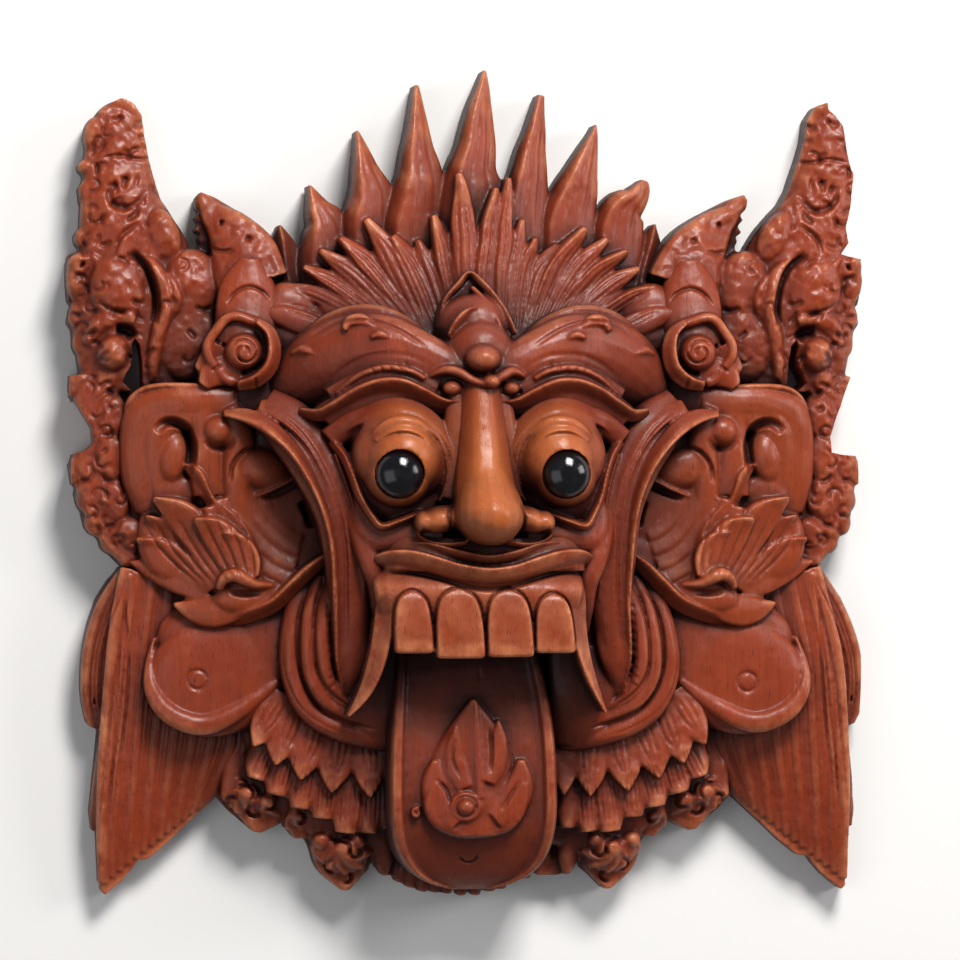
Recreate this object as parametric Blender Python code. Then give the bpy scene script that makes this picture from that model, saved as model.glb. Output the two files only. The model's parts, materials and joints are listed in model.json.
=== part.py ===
"""A carved wooden barong mask, one solid, with two black beads let into its eyes.

The mask lies on its flat back: +Z is out of its face, +Y is towards its crown
and +X is to a viewer's right. The origin is on the back, in the middle.
Carved forms are drawn in millimetres on a mask of the DRAWN sizes below and
are scaled with WIDTH, HEIGHT and DEPTH.
"""
import math

import bmesh
import bpy
from mathutils import Vector

# Overall size of the carving, in metres
WIDTH = 0.384
HEIGHT = 0.400
DEPTH = 0.118

# The size that the forms below are drawn at, in millimetres
DRAWN_WIDTH = 384.0
DRAWN_HEIGHT = 400.0
DRAWN_DEPTH = 118.0

# Hollow of the back, in metres
HOLLOW_WIDTH = 0.112
HOLLOW_HEIGHT = 0.156
HOLLOW_DEPTH = 0.042
HOLLOW_SQUARENESS = 3.4

# Eye beads, in metres: a short cylinder with a domed front
BEAD_RADIUS = 0.0115
BEAD_SEAT_DEPTH = 0.008
BEAD_DOME = 0.0075
BEAD_CLEARANCE = 0.0003

# How finely the forms are fused, and how many triangles the carving keeps
FUSE_VOXEL = 0.0016
CARVING_TRIANGLES = 7300

# Sections across a raised band: (share of half width, share of edge drop)
ROUND = [(-1, 1), (-0.92, 0.6), (-0.7, 0.29), (-0.38, 0.07), (0, 0),
         (0.38, 0.07), (0.7, 0.29), (0.92, 0.6), (1, 1)]
KEEL = [(-1, 1), (-0.5, 0.6), (0, 0), (0.5, 0.6), (1, 1)]
FLAT = [(-1, 1), (-0.94, 0.35), (-0.82, 0.06), (0, 0),
        (0.82, 0.06), (0.94, 0.35), (1, 1)]
TRAY = [(-1, 1), (-0.98, 0.3), (-0.94, 0.03), (-0.89, 0), (-0.84, 0.12), (-0.79, 0.42),
        (-0.4, 0.5), (0, 0.52), (0.4, 0.5), (0.79, 0.42), (0.84, 0.12), (0.89, 0),
        (0.94, 0.03), (0.98, 0.3), (1, 1)]
GUTTER = [(-1, 0.5), (-0.85, 0.05), (-0.7, 0), (-0.45, 0.5), (0, 1), (0.45, 0.5),
          (0.7, 0), (0.85, 0.05), (1, 0.5)]

# Width along a leaf, from its root to its tip, as shares of its half width
SPIKE = (1.05, 1.05, 0.95, 0.47, 0.05)
LEAF = (0.6, 0.95, 1.0, 0.72, 0.07)
PLUME = (0.75, 0.92, 1.0, 0.85, 0.3)
LOCK = (0.85, 1.0, 0.92, 0.66, 0.1)


# How far the hand-carved centre line wanders to one side: (y, sideways)
CENTRE_LINE = [(-210, 5.0), (-166, 4.2), (-100, 4.2), (-40, 2.0), (10, -0.5), (50, -1.2),
               (100, -0.6), (120, 1.0), (145, 3.6), (170, 4.6), (210, 4.6)]


def wander(y):
    """How far the centre line stands to one side at height y."""
    if y <= CENTRE_LINE[0][0]:
        return CENTRE_LINE[0][1]
    for (low, start), (high, end) in zip(CENTRE_LINE, CENTRE_LINE[1:]):
        if y < high:
            t = (y - low) / (high - low)
            return start + (end - start) * t * t * (3 - 2 * t)
    return CENTRE_LINE[-1][1]


def place(x, y, z):
    """A drawn point, in millimetres, as a point of the mask, in metres."""
    return Vector(((x + wander(y)) * WIDTH / DRAWN_WIDTH, y * HEIGHT / DRAWN_HEIGHT,
                   z * DEPTH / DRAWN_DEPTH))


def smooth_rows(rows, per_span):
    """Rows read from a Catmull-Rom curve through the given rows, of any length."""
    rows = [tuple(map(float, row)) for row in rows]
    ends = [rows[0], *rows, rows[-1]]
    found = []
    for before, start, end, after in zip(ends, ends[1:], ends[2:], ends[3:]):
        for step in range(per_span):
            t = step / per_span
            found.append(tuple(
                0.5 * (2 * b + (c - a) * t + (2 * a - 5 * b + 4 * c - d) * t * t
                       + (3 * b - a - 3 * c + d) * t ** 3)
                for a, b, c, d in zip(before, start, end, after)))
    found.append(rows[-1])
    return found


def groove(bm, rows, per_span=3):
    """A cut along a line, open to the front. A row is x, y, height of its floor, half width."""
    samples = smooth_rows(rows, per_span)
    rings = []
    for i, (x, y, z, half) in enumerate(samples):
        before, after = samples[max(i - 1, 0)], samples[min(i + 1, len(samples) - 1)]
        run = Vector((after[0] - before[0], after[1] - before[1]))
        run.normalize()
        ring = [place(x + run.y * half * u, y - run.x * half * u, z + v)
                for u, v in ((-1.5, 30), (-1, 4), (0, 0), (1, 4), (1.5, 30))]
        rings.append(ring)
    loft(bm, rings)


def loft(bm, rings):
    """Closes a row of equal rings of points into one shell."""
    made = [[bm.verts.new(point) for point in ring] for ring in rings]
    for ring, following in zip(made, made[1:]):
        for i in range(len(ring)):
            j = (i + 1) % len(ring)
            bm.faces.new((ring[i], ring[j], following[j], following[i]))
    bm.faces.new(reversed(made[0]))
    bm.faces.new(made[-1])


def band(bm, rows, section=ROUND, floor=0.0, per_span=4):
    """A raised band on the carving. A row is x, y, crest height, half width, edge drop."""
    samples = smooth_rows(rows, per_span)
    rings = []
    for i, (x, y, z, half, drop) in enumerate(samples):
        before, after = samples[max(i - 1, 0)], samples[min(i + 1, len(samples) - 1)]
        run = Vector((after[0] - before[0], after[1] - before[1]))
        run.normalize()
        half = max(half, 0.3)
        low = min(floor, z - drop - 1.0)
        ring = [place(x + run.y * half * u, y - run.x * half * u, z - drop * v)
                for u, v in section]
        ring += [place(x + run.y * half * side, y - run.x * half * side, low)
                 for side in (1, -1)]
        rings.append(ring)
    loft(bm, rings)


def leaf(bm, root, tip, half, crest, drop, widths=LEAF, section=KEEL, bend=0.0, floor=0.0):
    """A leaf, spike or lock from root to tip. crest gives its height at both ends."""
    start, end = Vector(root), Vector(tip)
    along = end - start
    side = Vector((along.y, -along.x)).normalized()
    rows = []
    for i, share in enumerate(widths):
        t = i / (len(widths) - 1)
        point = start + along * t + side * bend * 4 * t * (1 - t)
        height = crest[0] + (crest[1] - crest[0]) * t
        rows.append((point.x, point.y, height, half * share, drop * (0.35 + 0.65 * share)))
    band(bm, rows, section, floor)


def boss(bm, centre, radii, top, side, power=2.0, turn=0.0, floor=0.0, segments=28, steps=7):
    """A rounded boss whose top is at top and whose wall starts at side."""
    turn = math.radians(turn)
    rings = []
    for step in range(steps + 1):
        angle = math.pi / 2 * step / steps
        share = max(math.sin(angle), 0.02)
        height = side + (top - side) * max(1 - share ** power, 0.0) ** (1 / power)
        rings.append((share, height))
    rings.append((1.0, min(floor, side - 1.0)))
    made = []
    for share, height in rings:
        ring = []
        for k in range(segments):
            a = 2 * math.pi * k / segments
            u, v = radii[0] * share * math.cos(a), radii[1] * share * math.sin(a)
            ring.append(place(centre[0] + u * math.cos(turn) - v * math.sin(turn),
                              centre[1] + u * math.sin(turn) + v * math.cos(turn), height))
        made.append(ring)
    loft(bm, made)


def slab(bm, outline, top, floor=0.0):
    """A flat board with the given outline."""
    loft(bm, [[place(x, y, floor) for x, y in outline], [place(x, y, top) for x, y in outline]])


def curl(bm, centre, outer, inner, turns, start, crest, half, drop, floor=0.0):
    """A spiral scroll that winds in from outer to inner radius. Negative turns wind clockwise."""
    count = max(6, round(abs(turns) * 12))
    rows = []
    for i in range(count + 1):
        t = i / count
        angle = math.radians(start) + 2 * math.pi * turns * t
        radius = outer + (inner - outer) * t
        rows.append((centre[0] + radius * math.cos(angle), centre[1] + radius * math.sin(angle),
                     crest, half * (1 - 0.45 * t), drop))
    band(bm, rows, ROUND, floor, per_span=1)


def head_mass(bm):
    """The block behind the face, the forehead and the boards that all carving stands on."""
    boss(bm, (0, 8), (90, 106), 58, 12, power=2.6)
    boss(bm, (0, 2), (58, 60), 72, 40, power=3.2)
    boss(bm, (0, -50), (48, 32), 76, 40, power=3.4)
    slab(bm, [(-104, 62), (-94, 104), (-60, 122), (-38, 135), (-12, 144), (12, 144), (38, 135),
              (60, 122), (94, 104), (104, 62)], 15)
    slab(bm, [(-110, -60), (-122, -140), (-94, -158), (-76, -178), (-46, -184), (-34, -192),
              (34, -192), (46, -184), (76, -178), (94, -158), (122, -140), (110, -60)], 15)
    boss(bm, (0, -116), (84, 64), 34, 14, power=2.4)


# Spikes at the back of the crown: root, tip, half width
SPIKES = [((-70, 90), (-82, 144), 14.0), ((-49, 92), (-56.5, 171), 11.0),
          ((-24, 100), (-26.5, 194), 12.5), ((1, 100), (5, 201), 14.0),
          ((28, 100), (32, 189), 11.5), ((50, 92), (60, 174), 12.5),
          ((74, 88), (84.5, 147), 14.0)]
# Shorter plumes before them, of one side: root, tip, half width
PLUMES = [((5, 80), (7, 150), 5.6), ((13, 82), (17, 131), 6.0), ((21, 82), (27, 118), 5.8),
          ((29, 80), (38, 121), 6.2), ((39, 84), (52, 129), 6.2), ((50, 86), (64, 119), 6.0),
          ((60, 84), (75, 110), 5.6), ((69, 80), (83, 99), 5.0), ((78, 74), (91, 90), 4.6),
          ((85, 66), (97, 80), 4.4)]


def crown_half(bm):
    """The shorter plumes that fan up from the brow."""
    leaf(bm, (84, 84), (94, 124), 9, (30, 24), 7, SPIKE, KEEL)
    for i, (root, tip, half) in enumerate(PLUMES):
        leaf(bm, root, tip, half, (59 - 1.2 * i, 36 + 2 * (i % 2)), 6, PLUME, ROUND, bend=1.5)


def crown_spikes(bm):
    """Tall faceted spikes that stand at the back of the crown."""
    for root, tip, half in SPIKES:
        leaf(bm, root, tip, half, (38, 27), 10, SPIKE, KEEL)


def forehead_ornament(bm):
    """The lotus petal over the brows and the jewel below it."""
    leaf(bm, (-1, 70), (-2, 101), 21, (72, 52), 8, (0.9, 1.0, 0.85, 0.5, 0.07), KEEL)
    leaf(bm, (-1, 62), (-2, 84), 12, (80, 68), 7, (0.9, 1.0, 0.8, 0.45, 0.07), KEEL)
    boss(bm, (-1, 60), (9.5, 5.5), 92, 84)
    boss(bm, (1, 48), (5, 4), 94, 88)


def brow_half(bm):
    """The swelling brow pad, its rolled lower edge, its upper rim and the curl by the nose."""
    band(bm, [(10, 44, 82, 5, 5), (24, 54, 82, 11, 8), (42, 62, 80, 17, 11), (60, 62, 74, 20, 13),
              (78, 54, 64, 17, 12), (92, 44, 52, 8, 8)], ROUND)
    band(bm, [(14, 39, 88, 2.5, 4), (28, 45, 89, 3.4, 5), (45, 50, 87, 4.0, 6), (62, 47, 82, 4.0, 6),
              (76, 38, 75, 3.6, 6), (88, 33, 66, 2.6, 5), (99, 38, 56, 1.5, 4)], ROUND, floor=40)
    band(bm, [(22, 68, 68, 1.4, 4), (36, 78, 67, 1.8, 4), (54, 85, 64, 2.0, 4), (72, 82, 60, 2.0, 4),
              (86, 72, 54, 1.8, 4), (95, 58, 48, 1.2, 4)], ROUND, floor=20)
    curl(bm, (14, 46), 5, 1.6, -1.1, 100, 89, 2.0, 4, floor=60)


BEAD_PLACE = (39.5, 4, 93)


def eye_half(bm):
    """The eyeball with its lids, the folds over it and the angular rim below it."""
    boss(bm, (36.5, 11.5), (20.5, 20), 98, 72, power=2.2, floor=40)
    boss(bm, (BEAD_PLACE[0], BEAD_PLACE[1]), (13.5, 13), 95.5, 82, power=4.0, floor=40)
    band(bm, [(68, 23, 70, 1.5, 4), (61, 31, 76, 2.6, 5), (50, 36, 83, 3.0, 5), (38, 37, 85, 3.0, 5),
              (26, 33, 85, 3.0, 5), (16, 21, 84, 2.8, 5), (12, 5, 83, 2.6, 5),
              (16, -8, 82, 1.8, 4)], ROUND, floor=50)
    band(bm, [(58, 14, 78, 1.6, 4), (53, 25, 84, 2.4, 5), (38, 31.5, 88, 2.8, 6), (22, 26, 87, 2.4, 5),
              (15.5, 12, 84, 2.0, 5), (18, 0, 82, 1.4, 4)], ROUND, floor=50)
    band(bm, [(66, 22, 68, 1.5, 3), (60, 7, 74, 1.8, 4), (55, -7, 77, 1.9, 4), (50, -20, 80, 1.9, 4)],
         KEEL, floor=50)
    band(bm, [(50, -20, 80, 1.9, 4), (41, -18, 81, 1.8, 4), (31, -14, 82, 1.4, 4)], KEEL, floor=50)
    band(bm, [(60, 0, 71, 4, 5), (58, -18, 75, 7, 6), (50, -30, 80, 8, 8), (36, -27, 83, 8, 8),
              (22, -24, 86, 5, 6)], ROUND, floor=40)


def nose(bm):
    """The bridge with its facet, the bulbous tip and the flared nostrils."""
    band(bm, [(0, 54, 88, 8, 10), (0, 36, 91, 9, 12), (0, 16, 96, 10.5, 14), (0, 0, 104, 13, 18),
              (0, -10, 108, 14, 22)], ROUND, floor=40)
    band(bm, [(0, 52, 91, 2.6, 3), (0, 30, 95, 3.0, 3), (0, 10, 101, 3.0, 3), (0, 2, 104, 1.0, 3)],
         KEEL, floor=60)
    boss(bm, (0, -13), (17, 17.5), 118, 98, power=2.1, floor=60)
    leaf(bm, (0, -12), (0, 10), 12, (112, 104), 12, (1.0, 0.8, 0.5, 0.25, 0.06), ROUND, floor=60)
    for side in (-1, 1):
        band(bm, [(12 * side, -29, 96, 2.6, 6), (17 * side, -22, 99, 3.4, 6),
                  (25 * side, -15.5, 98, 3.8, 6), (32 * side, -18, 94, 3.4, 6),
                  (35 * side, -25, 90, 2.4, 6)], ROUND, floor=60)
        band(bm, [(13 * side, -31, 93, 2.2, 4), (24 * side, -33, 91, 2.2, 4),
                  (34 * side, -28, 88, 2.2, 4)], ROUND, floor=60)


TOOTH_TOP = -50
TEETH = [(12.0, -83.5, 11.2), (33.0, -81.5, 9.5)]


def mouth(bm):
    """The rolled upper lip, the gum, four broad teeth and the tusks beside them."""
    band(bm, [(-52, -36, 80, 2.6, 6), (-43, -33.5, 88, 4.6, 8), (-28, -37.5, 93, 5, 9),
              (0, -45, 97, 5, 9), (28, -37.5, 93, 5, 9), (43, -33.5, 88, 4.6, 8),
              (52, -36, 80, 2.6, 6)], ROUND, floor=50)
    band(bm, [(-36, -31, 86, 1.5, 4), (-18, -34, 92, 2.6, 5), (0, -37.5, 95, 3, 6), (18, -34, 92, 2.6, 5),
              (36, -31, 86, 1.5, 4)], ROUND, floor=60)
    band(bm, [(0, -40, 86, 49, 14), (0, -52, 86, 48, 14), (0, -66, 84, 44, 14)], ROUND, floor=30)
    for side in (-1, 1):
        for x, bottom, half in TEETH:
            crest = 91 - 0.002 * x * x
            band(bm, [(x * side, TOOTH_TOP - 1, crest - 2, half * 0.45, 3),
                      (x * side, TOOTH_TOP - 5, crest, half * 0.85, 3),
                      (x * side, TOOTH_TOP - 12, crest, half, 3),
                      (x * side, bottom + 8, crest, half, 3),
                      (x * side, bottom + 2, crest - 0.5, half * 0.97, 3),
                      (x * side, bottom, crest - 1.5, half * 0.8, 3)], FLAT, floor=52)
        band(bm, [(46 * side, -50, 82, 5, 8), (46.5 * side, -68, 84, 5.2, 8),
                  (49 * side, -84, 83, 4.6, 7), (54 * side, -98, 80, 3.4, 6),
                  (61 * side, -110.5, 75, 0.8, 3)], KEEL, floor=44)


def face_half_cuts(bm):
    """The nostril, and the dark opening between the cheek strap and the ear."""
    loft(bm, [[place(x, y, z) for x, y in [(17, -26), (22, -23), (28, -22.5), (31, -25), (27, -28.5),
                                           (20, -29)]] for z in (86, 130)])
    loft(bm, [[place(x, y, z) for x, y in [(73, -2), (84, -8), (88, -18), (82, -30), (73, -26),
                                           (71, -14)]] for z in (14, 90)])


TONGUE_LEAN = -6.0


def tongue(bm):
    """The long hanging tongue with a raised edge and a flame carved on it."""
    x = TONGUE_LEAN
    band(bm, [(x * 1.6, -80, 56, 35, 8), (x * 1.5, -98, 62, 36, 8), (x * 1.2, -122, 66, 39, 8),
              (x, -145, 66, 40.5, 8), (x, -164, 62, 40, 8), (x, -179, 56, 37, 8), (x, -190, 49, 29, 8),
              (x, -196, 42, 19, 7), (x, -198.5, 38, 8, 5)], TRAY, floor=10)
    leaf(bm, (x, -150), (x + 1, -104), 8, (66, 65), 4, LEAF, KEEL, floor=50)
    band(bm, [(x - 5, -117, 64, 2, 3), (x - 13, -128, 66, 4.5, 4), (x - 19, -144, 66, 6, 4),
              (x - 15, -158, 65, 6, 4), (x - 4, -163, 63, 4, 4)], ROUND, floor=50)
    band(bm, [(x + 6, -113, 64, 2, 3), (x + 15, -125, 66, 5.5, 4), (x + 21, -142, 66, 7, 4),
              (x + 17, -157, 65, 7, 4), (x + 4, -164, 63, 4, 4)], ROUND, floor=50)
    boss(bm, (x - 4, -155), (6, 6), 70, 64, floor=50)


def cheek_half(bm):
    """The strap that runs from the temple to the mouth, its bright rim and the jowl bands."""
    band(bm, [(104, 40, 50, 9, 6), (88, 26, 60, 12, 7), (74, 6, 66, 12, 8), (64, -18, 68, 12, 8),
              (60, -45, 66, 12, 8), (60, -72, 62, 12, 8), (63, -92, 58, 8, 6), (66, -103, 52, 3, 4)],
         ROUND)
    band(bm, [(117, 36, 56, 2, 4), (102, 28, 66, 3.4, 6), (87, 15, 73, 3.8, 7), (75, -5, 75, 3.8, 7),
              (69, -30, 73, 3.4, 7), (68, -50, 69, 3.0, 6), (70, -75, 63, 2.8, 6),
              (70, -92, 58, 2.4, 5), (66, -103, 54, 1.6, 4)], ROUND)
    band(bm, [(76, -46, 48, 5, 6), (87, -66, 49, 6.5, 8), (91, -88, 49, 7, 8), (85, -106, 49, 7, 8),
              (68, -119, 49, 6.5, 8), (44, -126, 46, 5, 7)], ROUND)
    band(bm, [(75, -48, 54, 3, 5), (82, -68, 55, 4.2, 6), (82, -88, 55, 4.2, 6), (76, -104, 54, 4, 6),
              (62, -113, 52, 3, 5)], ROUND)
    band(bm, [(72, -50, 56, 2.5, 4), (76, -70, 57, 3.2, 4), (76, -88, 56, 3.2, 4),
              (70, -103, 54, 2.5, 4)], ROUND)


def ear_half(bm):
    """The cupped ear behind the cheek strap, its lower lobe and the leaves on it."""
    slab(bm, [(66, -36), (70, 44), (120, 50), (168, 50), (180, 30), (182, 0), (172, -34), (148, -50),
              (116, -63), (94, -52)], 26)
    band(bm, [(68, -32, 58, 2.5, 5), (84, -44, 56, 4, 7), (98, -55, 52, 5, 8), (115, -63, 47, 5.5, 8),
              (132, -60, 43, 6, 8), (148, -51, 39, 6, 8), (162, -38, 34, 5, 7)], ROUND)
    band(bm, [(108, 32, 54, 3, 5), (117, 20, 54, 4.5, 7), (122, 3, 53, 5, 7), (119, -16, 51, 5, 7),
              (110, -34, 49, 4.5, 7), (100, -46, 48, 3, 6)], ROUND)
    leaf(bm, (82, 12), (114, -4), 8, (40, 50), 5, LEAF, KEEL)
    leaf(bm, (82, -24), (108, -40), 9, (40, 46), 5, LEAF, KEEL)
    boss(bm, (143, 20), (24, 29), 46, 34, power=3.4)
    boss(bm, (155, 0), (18, 26), 38, 30, power=3.0, turn=-20)
    boss(bm, (121, 23), (6.5, 6.5), 55, 48)
    leaf(bm, (118, -50), (153, -8), 9.5, (48, 44), 6, LEAF, KEEL, bend=-5)
    leaf(bm, (114, -46), (134, -18), 8.5, (52, 49), 5, LEAF, KEEL, bend=-3)
    leaf(bm, (110, -42), (121, -24), 6.5, (54, 52), 5, LEAF, KEEL, bend=-2)
    leaf(bm, (128, -54), (164, -32), 8, (44, 36), 6, LEAF, KEEL, bend=3)
    leaf(bm, (120, -58), (146, -54), 6, (46, 42), 5, LEAF, KEEL, bend=2)
    curl(bm, (118, -46), 6, 2, 1.2, 200, 58, 2.6, 5, floor=30)


def ear_half_cuts(bm):
    """The arched hollow in the ear that leaves its pod standing, and the mouth of the ear."""
    groove(bm, [(137, 4, 34, 3.6), (136, 16, 32, 4.6), (139, 27, 32, 4.8), (146, 30, 32, 4.8),
                (153, 25, 32, 4.8), (155, 14, 32, 4.6), (152, 3, 34, 3.6)])


# Lobes on the outer edge of the ear plate: x, y, radius
PLATE_LOBES = [(178.5, 171, 5.5), (182.5, 152.5, 5.5), (182, 141, 5), (181.5, 119, 5.5),
               (184.5, 104, 6.5), (184, 93, 5.5), (184, 80, 6), (181, 68, 6), (179, 44, 9),
               (179, 33, 7), (178, 25, 6), (181, -12, 7), (178, -22, 6.5), (172, -30, 6.5),
               (165, -37, 6)]
# Leaves with square ends on the same edge: tip, root, half width
PLATE_SQUARES = [((190.5, 106), (172, 103), 5.5), ((190.5, 48), (170, 42), 7),
                 ((192.5, 5), (168, 3), 8.5)]


def ear_plate_half(bm):
    """The tall plate behind the ear: a horn at the top, lobes and square leaves down its edge."""
    band(bm, [(170, 183.5, 17, 4.5, 5), (170.5, 176, 20, 9.5, 6), (170.5, 160, 24, 13, 7),
              (167, 138, 27, 17, 8), (162, 122, 30, 20.5, 9), (157, 104, 31, 28, 9),
              (154, 84, 31, 31, 9), (152, 62, 31, 29, 9), (152, 44, 30, 27, 9)], ROUND)
    for x, y, radius in PLATE_LOBES:
        boss(bm, (x, y), (radius, radius), 24, 15, power=2.4, segments=14, steps=4)
    for tip, root, half in PLATE_SQUARES:
        leaf(bm, root, tip, half, (28, 22), 6, (1, 1, 1, 1, 0.92), FLAT)
    boss(bm, (169, 64), (7, 7), 36, 24)
    band(bm, [(168, 112, 36, 3, 5), (158, 98, 38, 4.5, 6), (153, 82, 38, 5, 6), (152, 66, 38, 5, 6),
              (151, 52, 36, 4, 5)], ROUND)
    band(bm, [(181, 92, 32, 3.5, 5), (171, 86, 34, 4.5, 6), (164, 76, 34, 4, 6)], ROUND)
    band(bm, [(108, 86, 40, 22, 8), (111, 110, 34, 20, 7), (117.5, 124, 29, 13, 6),
              (124, 132, 25, 7, 5), (131, 140, 22, 0.8, 3)], KEEL)
    boss(bm, (114, 84), (25, 26), 38, 24, power=2.6)
    boss(bm, (138, 92), (17, 20), 35, 24, power=2.4)


def ear_plate_half_cuts(bm):
    """The open hole beside the knob, and the dark pits of the scrolls."""
    loft(bm, [[place(x, y, z) for x, y in [(162, 70), (165, 60), (165.5, 48), (161, 42), (156.5, 47),
                                           (156, 56), (159, 66)]] for z in (-10, 70)])
    groove(bm, [(162, 118, 25, 2.4), (158, 108, 26, 3.0), (160, 98, 27, 2.0)])
    groove(bm, [(172, 124, 24, 1.6), (170, 116, 24, 2.4), (173, 110, 24, 1.6)])


def flower_half(bm):
    """The cupped flower at the temple with its knob and the petal above it."""
    leaf(bm, (112, 66), (113, 98), 14, (50, 44), 6, (0.9, 1.0, 0.95, 0.75, 0.2), ROUND)
    count = 20
    rows = []
    for i in range(count + 1):
        angle = 2 * math.pi * i / count
        swell = 1 + 0.09 * math.cos(5 * angle)
        rows.append((112 + 14 * swell * math.cos(angle), 62.5 + 15 * swell * math.sin(angle),
                     58, 3.8, 6))
    band(bm, rows, ROUND, per_span=1)
    boss(bm, (112, 62.5), (9, 8.5), 57, 49)
    boss(bm, (127, 56), (4.2, 4.6), 52, 46)


def ear_disc_half(bm):
    """The plain round pendant under the ear, a little dished, with a ring mark."""
    boss(bm, (123, -93), (34, 28), 43, 33, power=3.4, turn=-24)
    boss(bm, (98, -80), (20, 19), 41, 32, power=2.6)
    band(bm, [(152, -82, 43, 2.6, 4), (153, -96, 44, 3.6, 5), (145, -110, 45, 4.2, 5),
              (130, -118, 45, 4.2, 5), (112, -116, 44, 3.6, 5), (98, -106, 42, 2.2, 4)], ROUND, floor=20)
    rows = [(129 + 5 * math.cos(math.pi * i / 6), -96 + 5 * math.sin(math.pi * i / 6), 44.5, 1.4, 2)
            for i in range(13)]
    band(bm, rows, KEEL, floor=30, per_span=1)


# Strands of the wing of hair: root, middle, tip, half width
STRANDS = [
    ((164, -34), (183, -76), (183.5, -122), 4.0), ((158, -38), (177, -80), (177.5, -122), 4.0),
    ((152, -42), (174, -100), (183, -167), 4.6), ((147, -46), (167, -106), (175, -168), 4.6),
    ((142, -50), (163, -116), (180.5, -199), 4.6), ((138, -56), (158, -120), (176, -195), 4.6),
    ((138, -70), (153, -126), (171, -188), 4.4), ((142, -90), (150, -132), (165, -183), 4.4),
    ((142, -105), (146, -136), (159, -178), 4.3), ((136, -112), (140, -138), (152, -172), 4.2),
    ((128, -116), (134, -138), (145, -166), 4.2), ((121, -118), (128, -138), (137, -160), 4.0),
    ((114, -118), (122, -136), (130, -158), 4.2),
]


def wing_half(bm):
    """Long strands of hair that fan down and outward behind the pendant."""
    for i, (root, middle, tip, half) in enumerate(STRANDS):
        lift = 2.0 * (i % 2)
        band(bm, [(*root, 30 + lift, half * 0.9, 5), (*middle, 27 + lift, half * 1.12, 5),
                  (*tip, 14 + lift, half * 0.3, 4)], ROUND, per_span=8)
    slab(bm, [(148, -44), (174, -78), (178, -118), (174, -150), (171, -184), (136, -156),
              (110, -112)], 16)


# Pointed leaves under the jaw and rounded tufts below them, of one side: root, tip
FRINGE = [((94, -104), (108, -126)), ((84, -110), (96, -137)), ((72, -115), (84, -144)),
          ((58, -119), (67, -148)), ((46, -120), (51, -152))]
TUFTS = [((96, -126), (104, -143)), ((87, -130), (95, -151)), ((78, -136), (87, -159)),
         ((67, -140), (76, -167)), ((54, -144), (61, -174)), ((44, -144), (47, -170))]


def beard_half(bm):
    """Three rows of leaves and tufts that hang from the jaw."""
    for root, tip in FRINGE:
        leaf(bm, root, tip, 8.6, (46, 41), 6, (1.0, 1.0, 0.92, 0.66, 0.06), KEEL)
    for root, tip in TUFTS:
        leaf(bm, root, tip, 8.2, (38, 32), 6, (1.0, 1.0, 1.0, 0.92, 0.4), ROUND)
    leaf(bm, (114, -124), (117, -157), 9, (26, 20), 5, (1.0, 1.0, 1.0, 0.8, 0.3), FLAT)
    leaf(bm, (98, -140), (101, -171.5), 14, (28, 20), 6, (0.9, 1.0, 1.0, 0.66, 0.06), ROUND)
    leaf(bm, (82, -150), (84, -171), 9, (26, 20), 5, (1.0, 1.0, 1.0, 0.8, 0.4), ROUND)
    leaf(bm, (64, -156), (60, -196.6), 16, (28, 20), 6, (0.9, 1.0, 1.0, 0.66, 0.06), ROUND)
    curl(bm, (101, -154), 7, 2, 1.2, 30, 33, 2.8, 5, floor=14)
    curl(bm, (62, -176), 8, 2, 1.2, 30, 33, 2.8, 5, floor=14)


def beard_hem(bm):
    """Small leaf tips round the end of the tongue."""
    count = 13
    for i in range(count):
        x = -40 + 80 * i / (count - 1)
        y = -200.5 + 0.0068 * x * x
        leaf(bm, (x * 0.85, y + 20), (x, y), 4.4, (22, 15), 4, (1.0, 1.0, 1.0, 0.9, 0.45), ROUND)


def mirrored(bm):
    """Adds a copy of every shell, reflected to the mask's other side."""
    copy = bmesh.ops.duplicate(bm, geom=bm.verts[:] + bm.edges[:] + bm.faces[:])["geom"]
    for item in copy:
        if isinstance(item, bmesh.types.BMVert):
            centre = wander(item.co.y * DRAWN_HEIGHT / HEIGHT) * WIDTH / DRAWN_WIDTH
            item.co.x = 2 * centre - item.co.x
    bmesh.ops.reverse_faces(bm, faces=[f for f in copy if isinstance(f, bmesh.types.BMFace)])


def object_from(bm, name):
    """A new object that holds the shells of bm."""
    bmesh.ops.recalc_face_normals(bm, faces=bm.faces[:])
    mesh = bpy.data.meshes.new(name)
    bm.to_mesh(mesh)
    bm.free()
    made = bpy.data.objects.new(name, mesh)
    bpy.context.scene.collection.objects.link(made)
    return made


def material(name, colour, roughness, metallic=0.0):
    """A plain Principled material."""
    made = bpy.data.materials.new(name)
    made.use_nodes = True
    shader = made.node_tree.nodes["Principled BSDF"]
    shader.inputs["Base Color"].default_value = (*colour, 1.0)
    shader.inputs["Roughness"].default_value = roughness
    shader.inputs["Metallic"].default_value = metallic
    return made


def all_forms():
    """Every carved form of the mask, as overlapping shells."""
    bm = bmesh.new()
    for carve in (crown_half, brow_half, eye_half, cheek_half, ear_half, ear_plate_half,
                  flower_half, ear_disc_half, wing_half, beard_half):
        carve(bm)
    mirrored(bm)
    for carve in (head_mass, crown_spikes, forehead_ornament, nose, mouth, tongue, beard_hem):
        carve(bm)
    return bm


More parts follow.
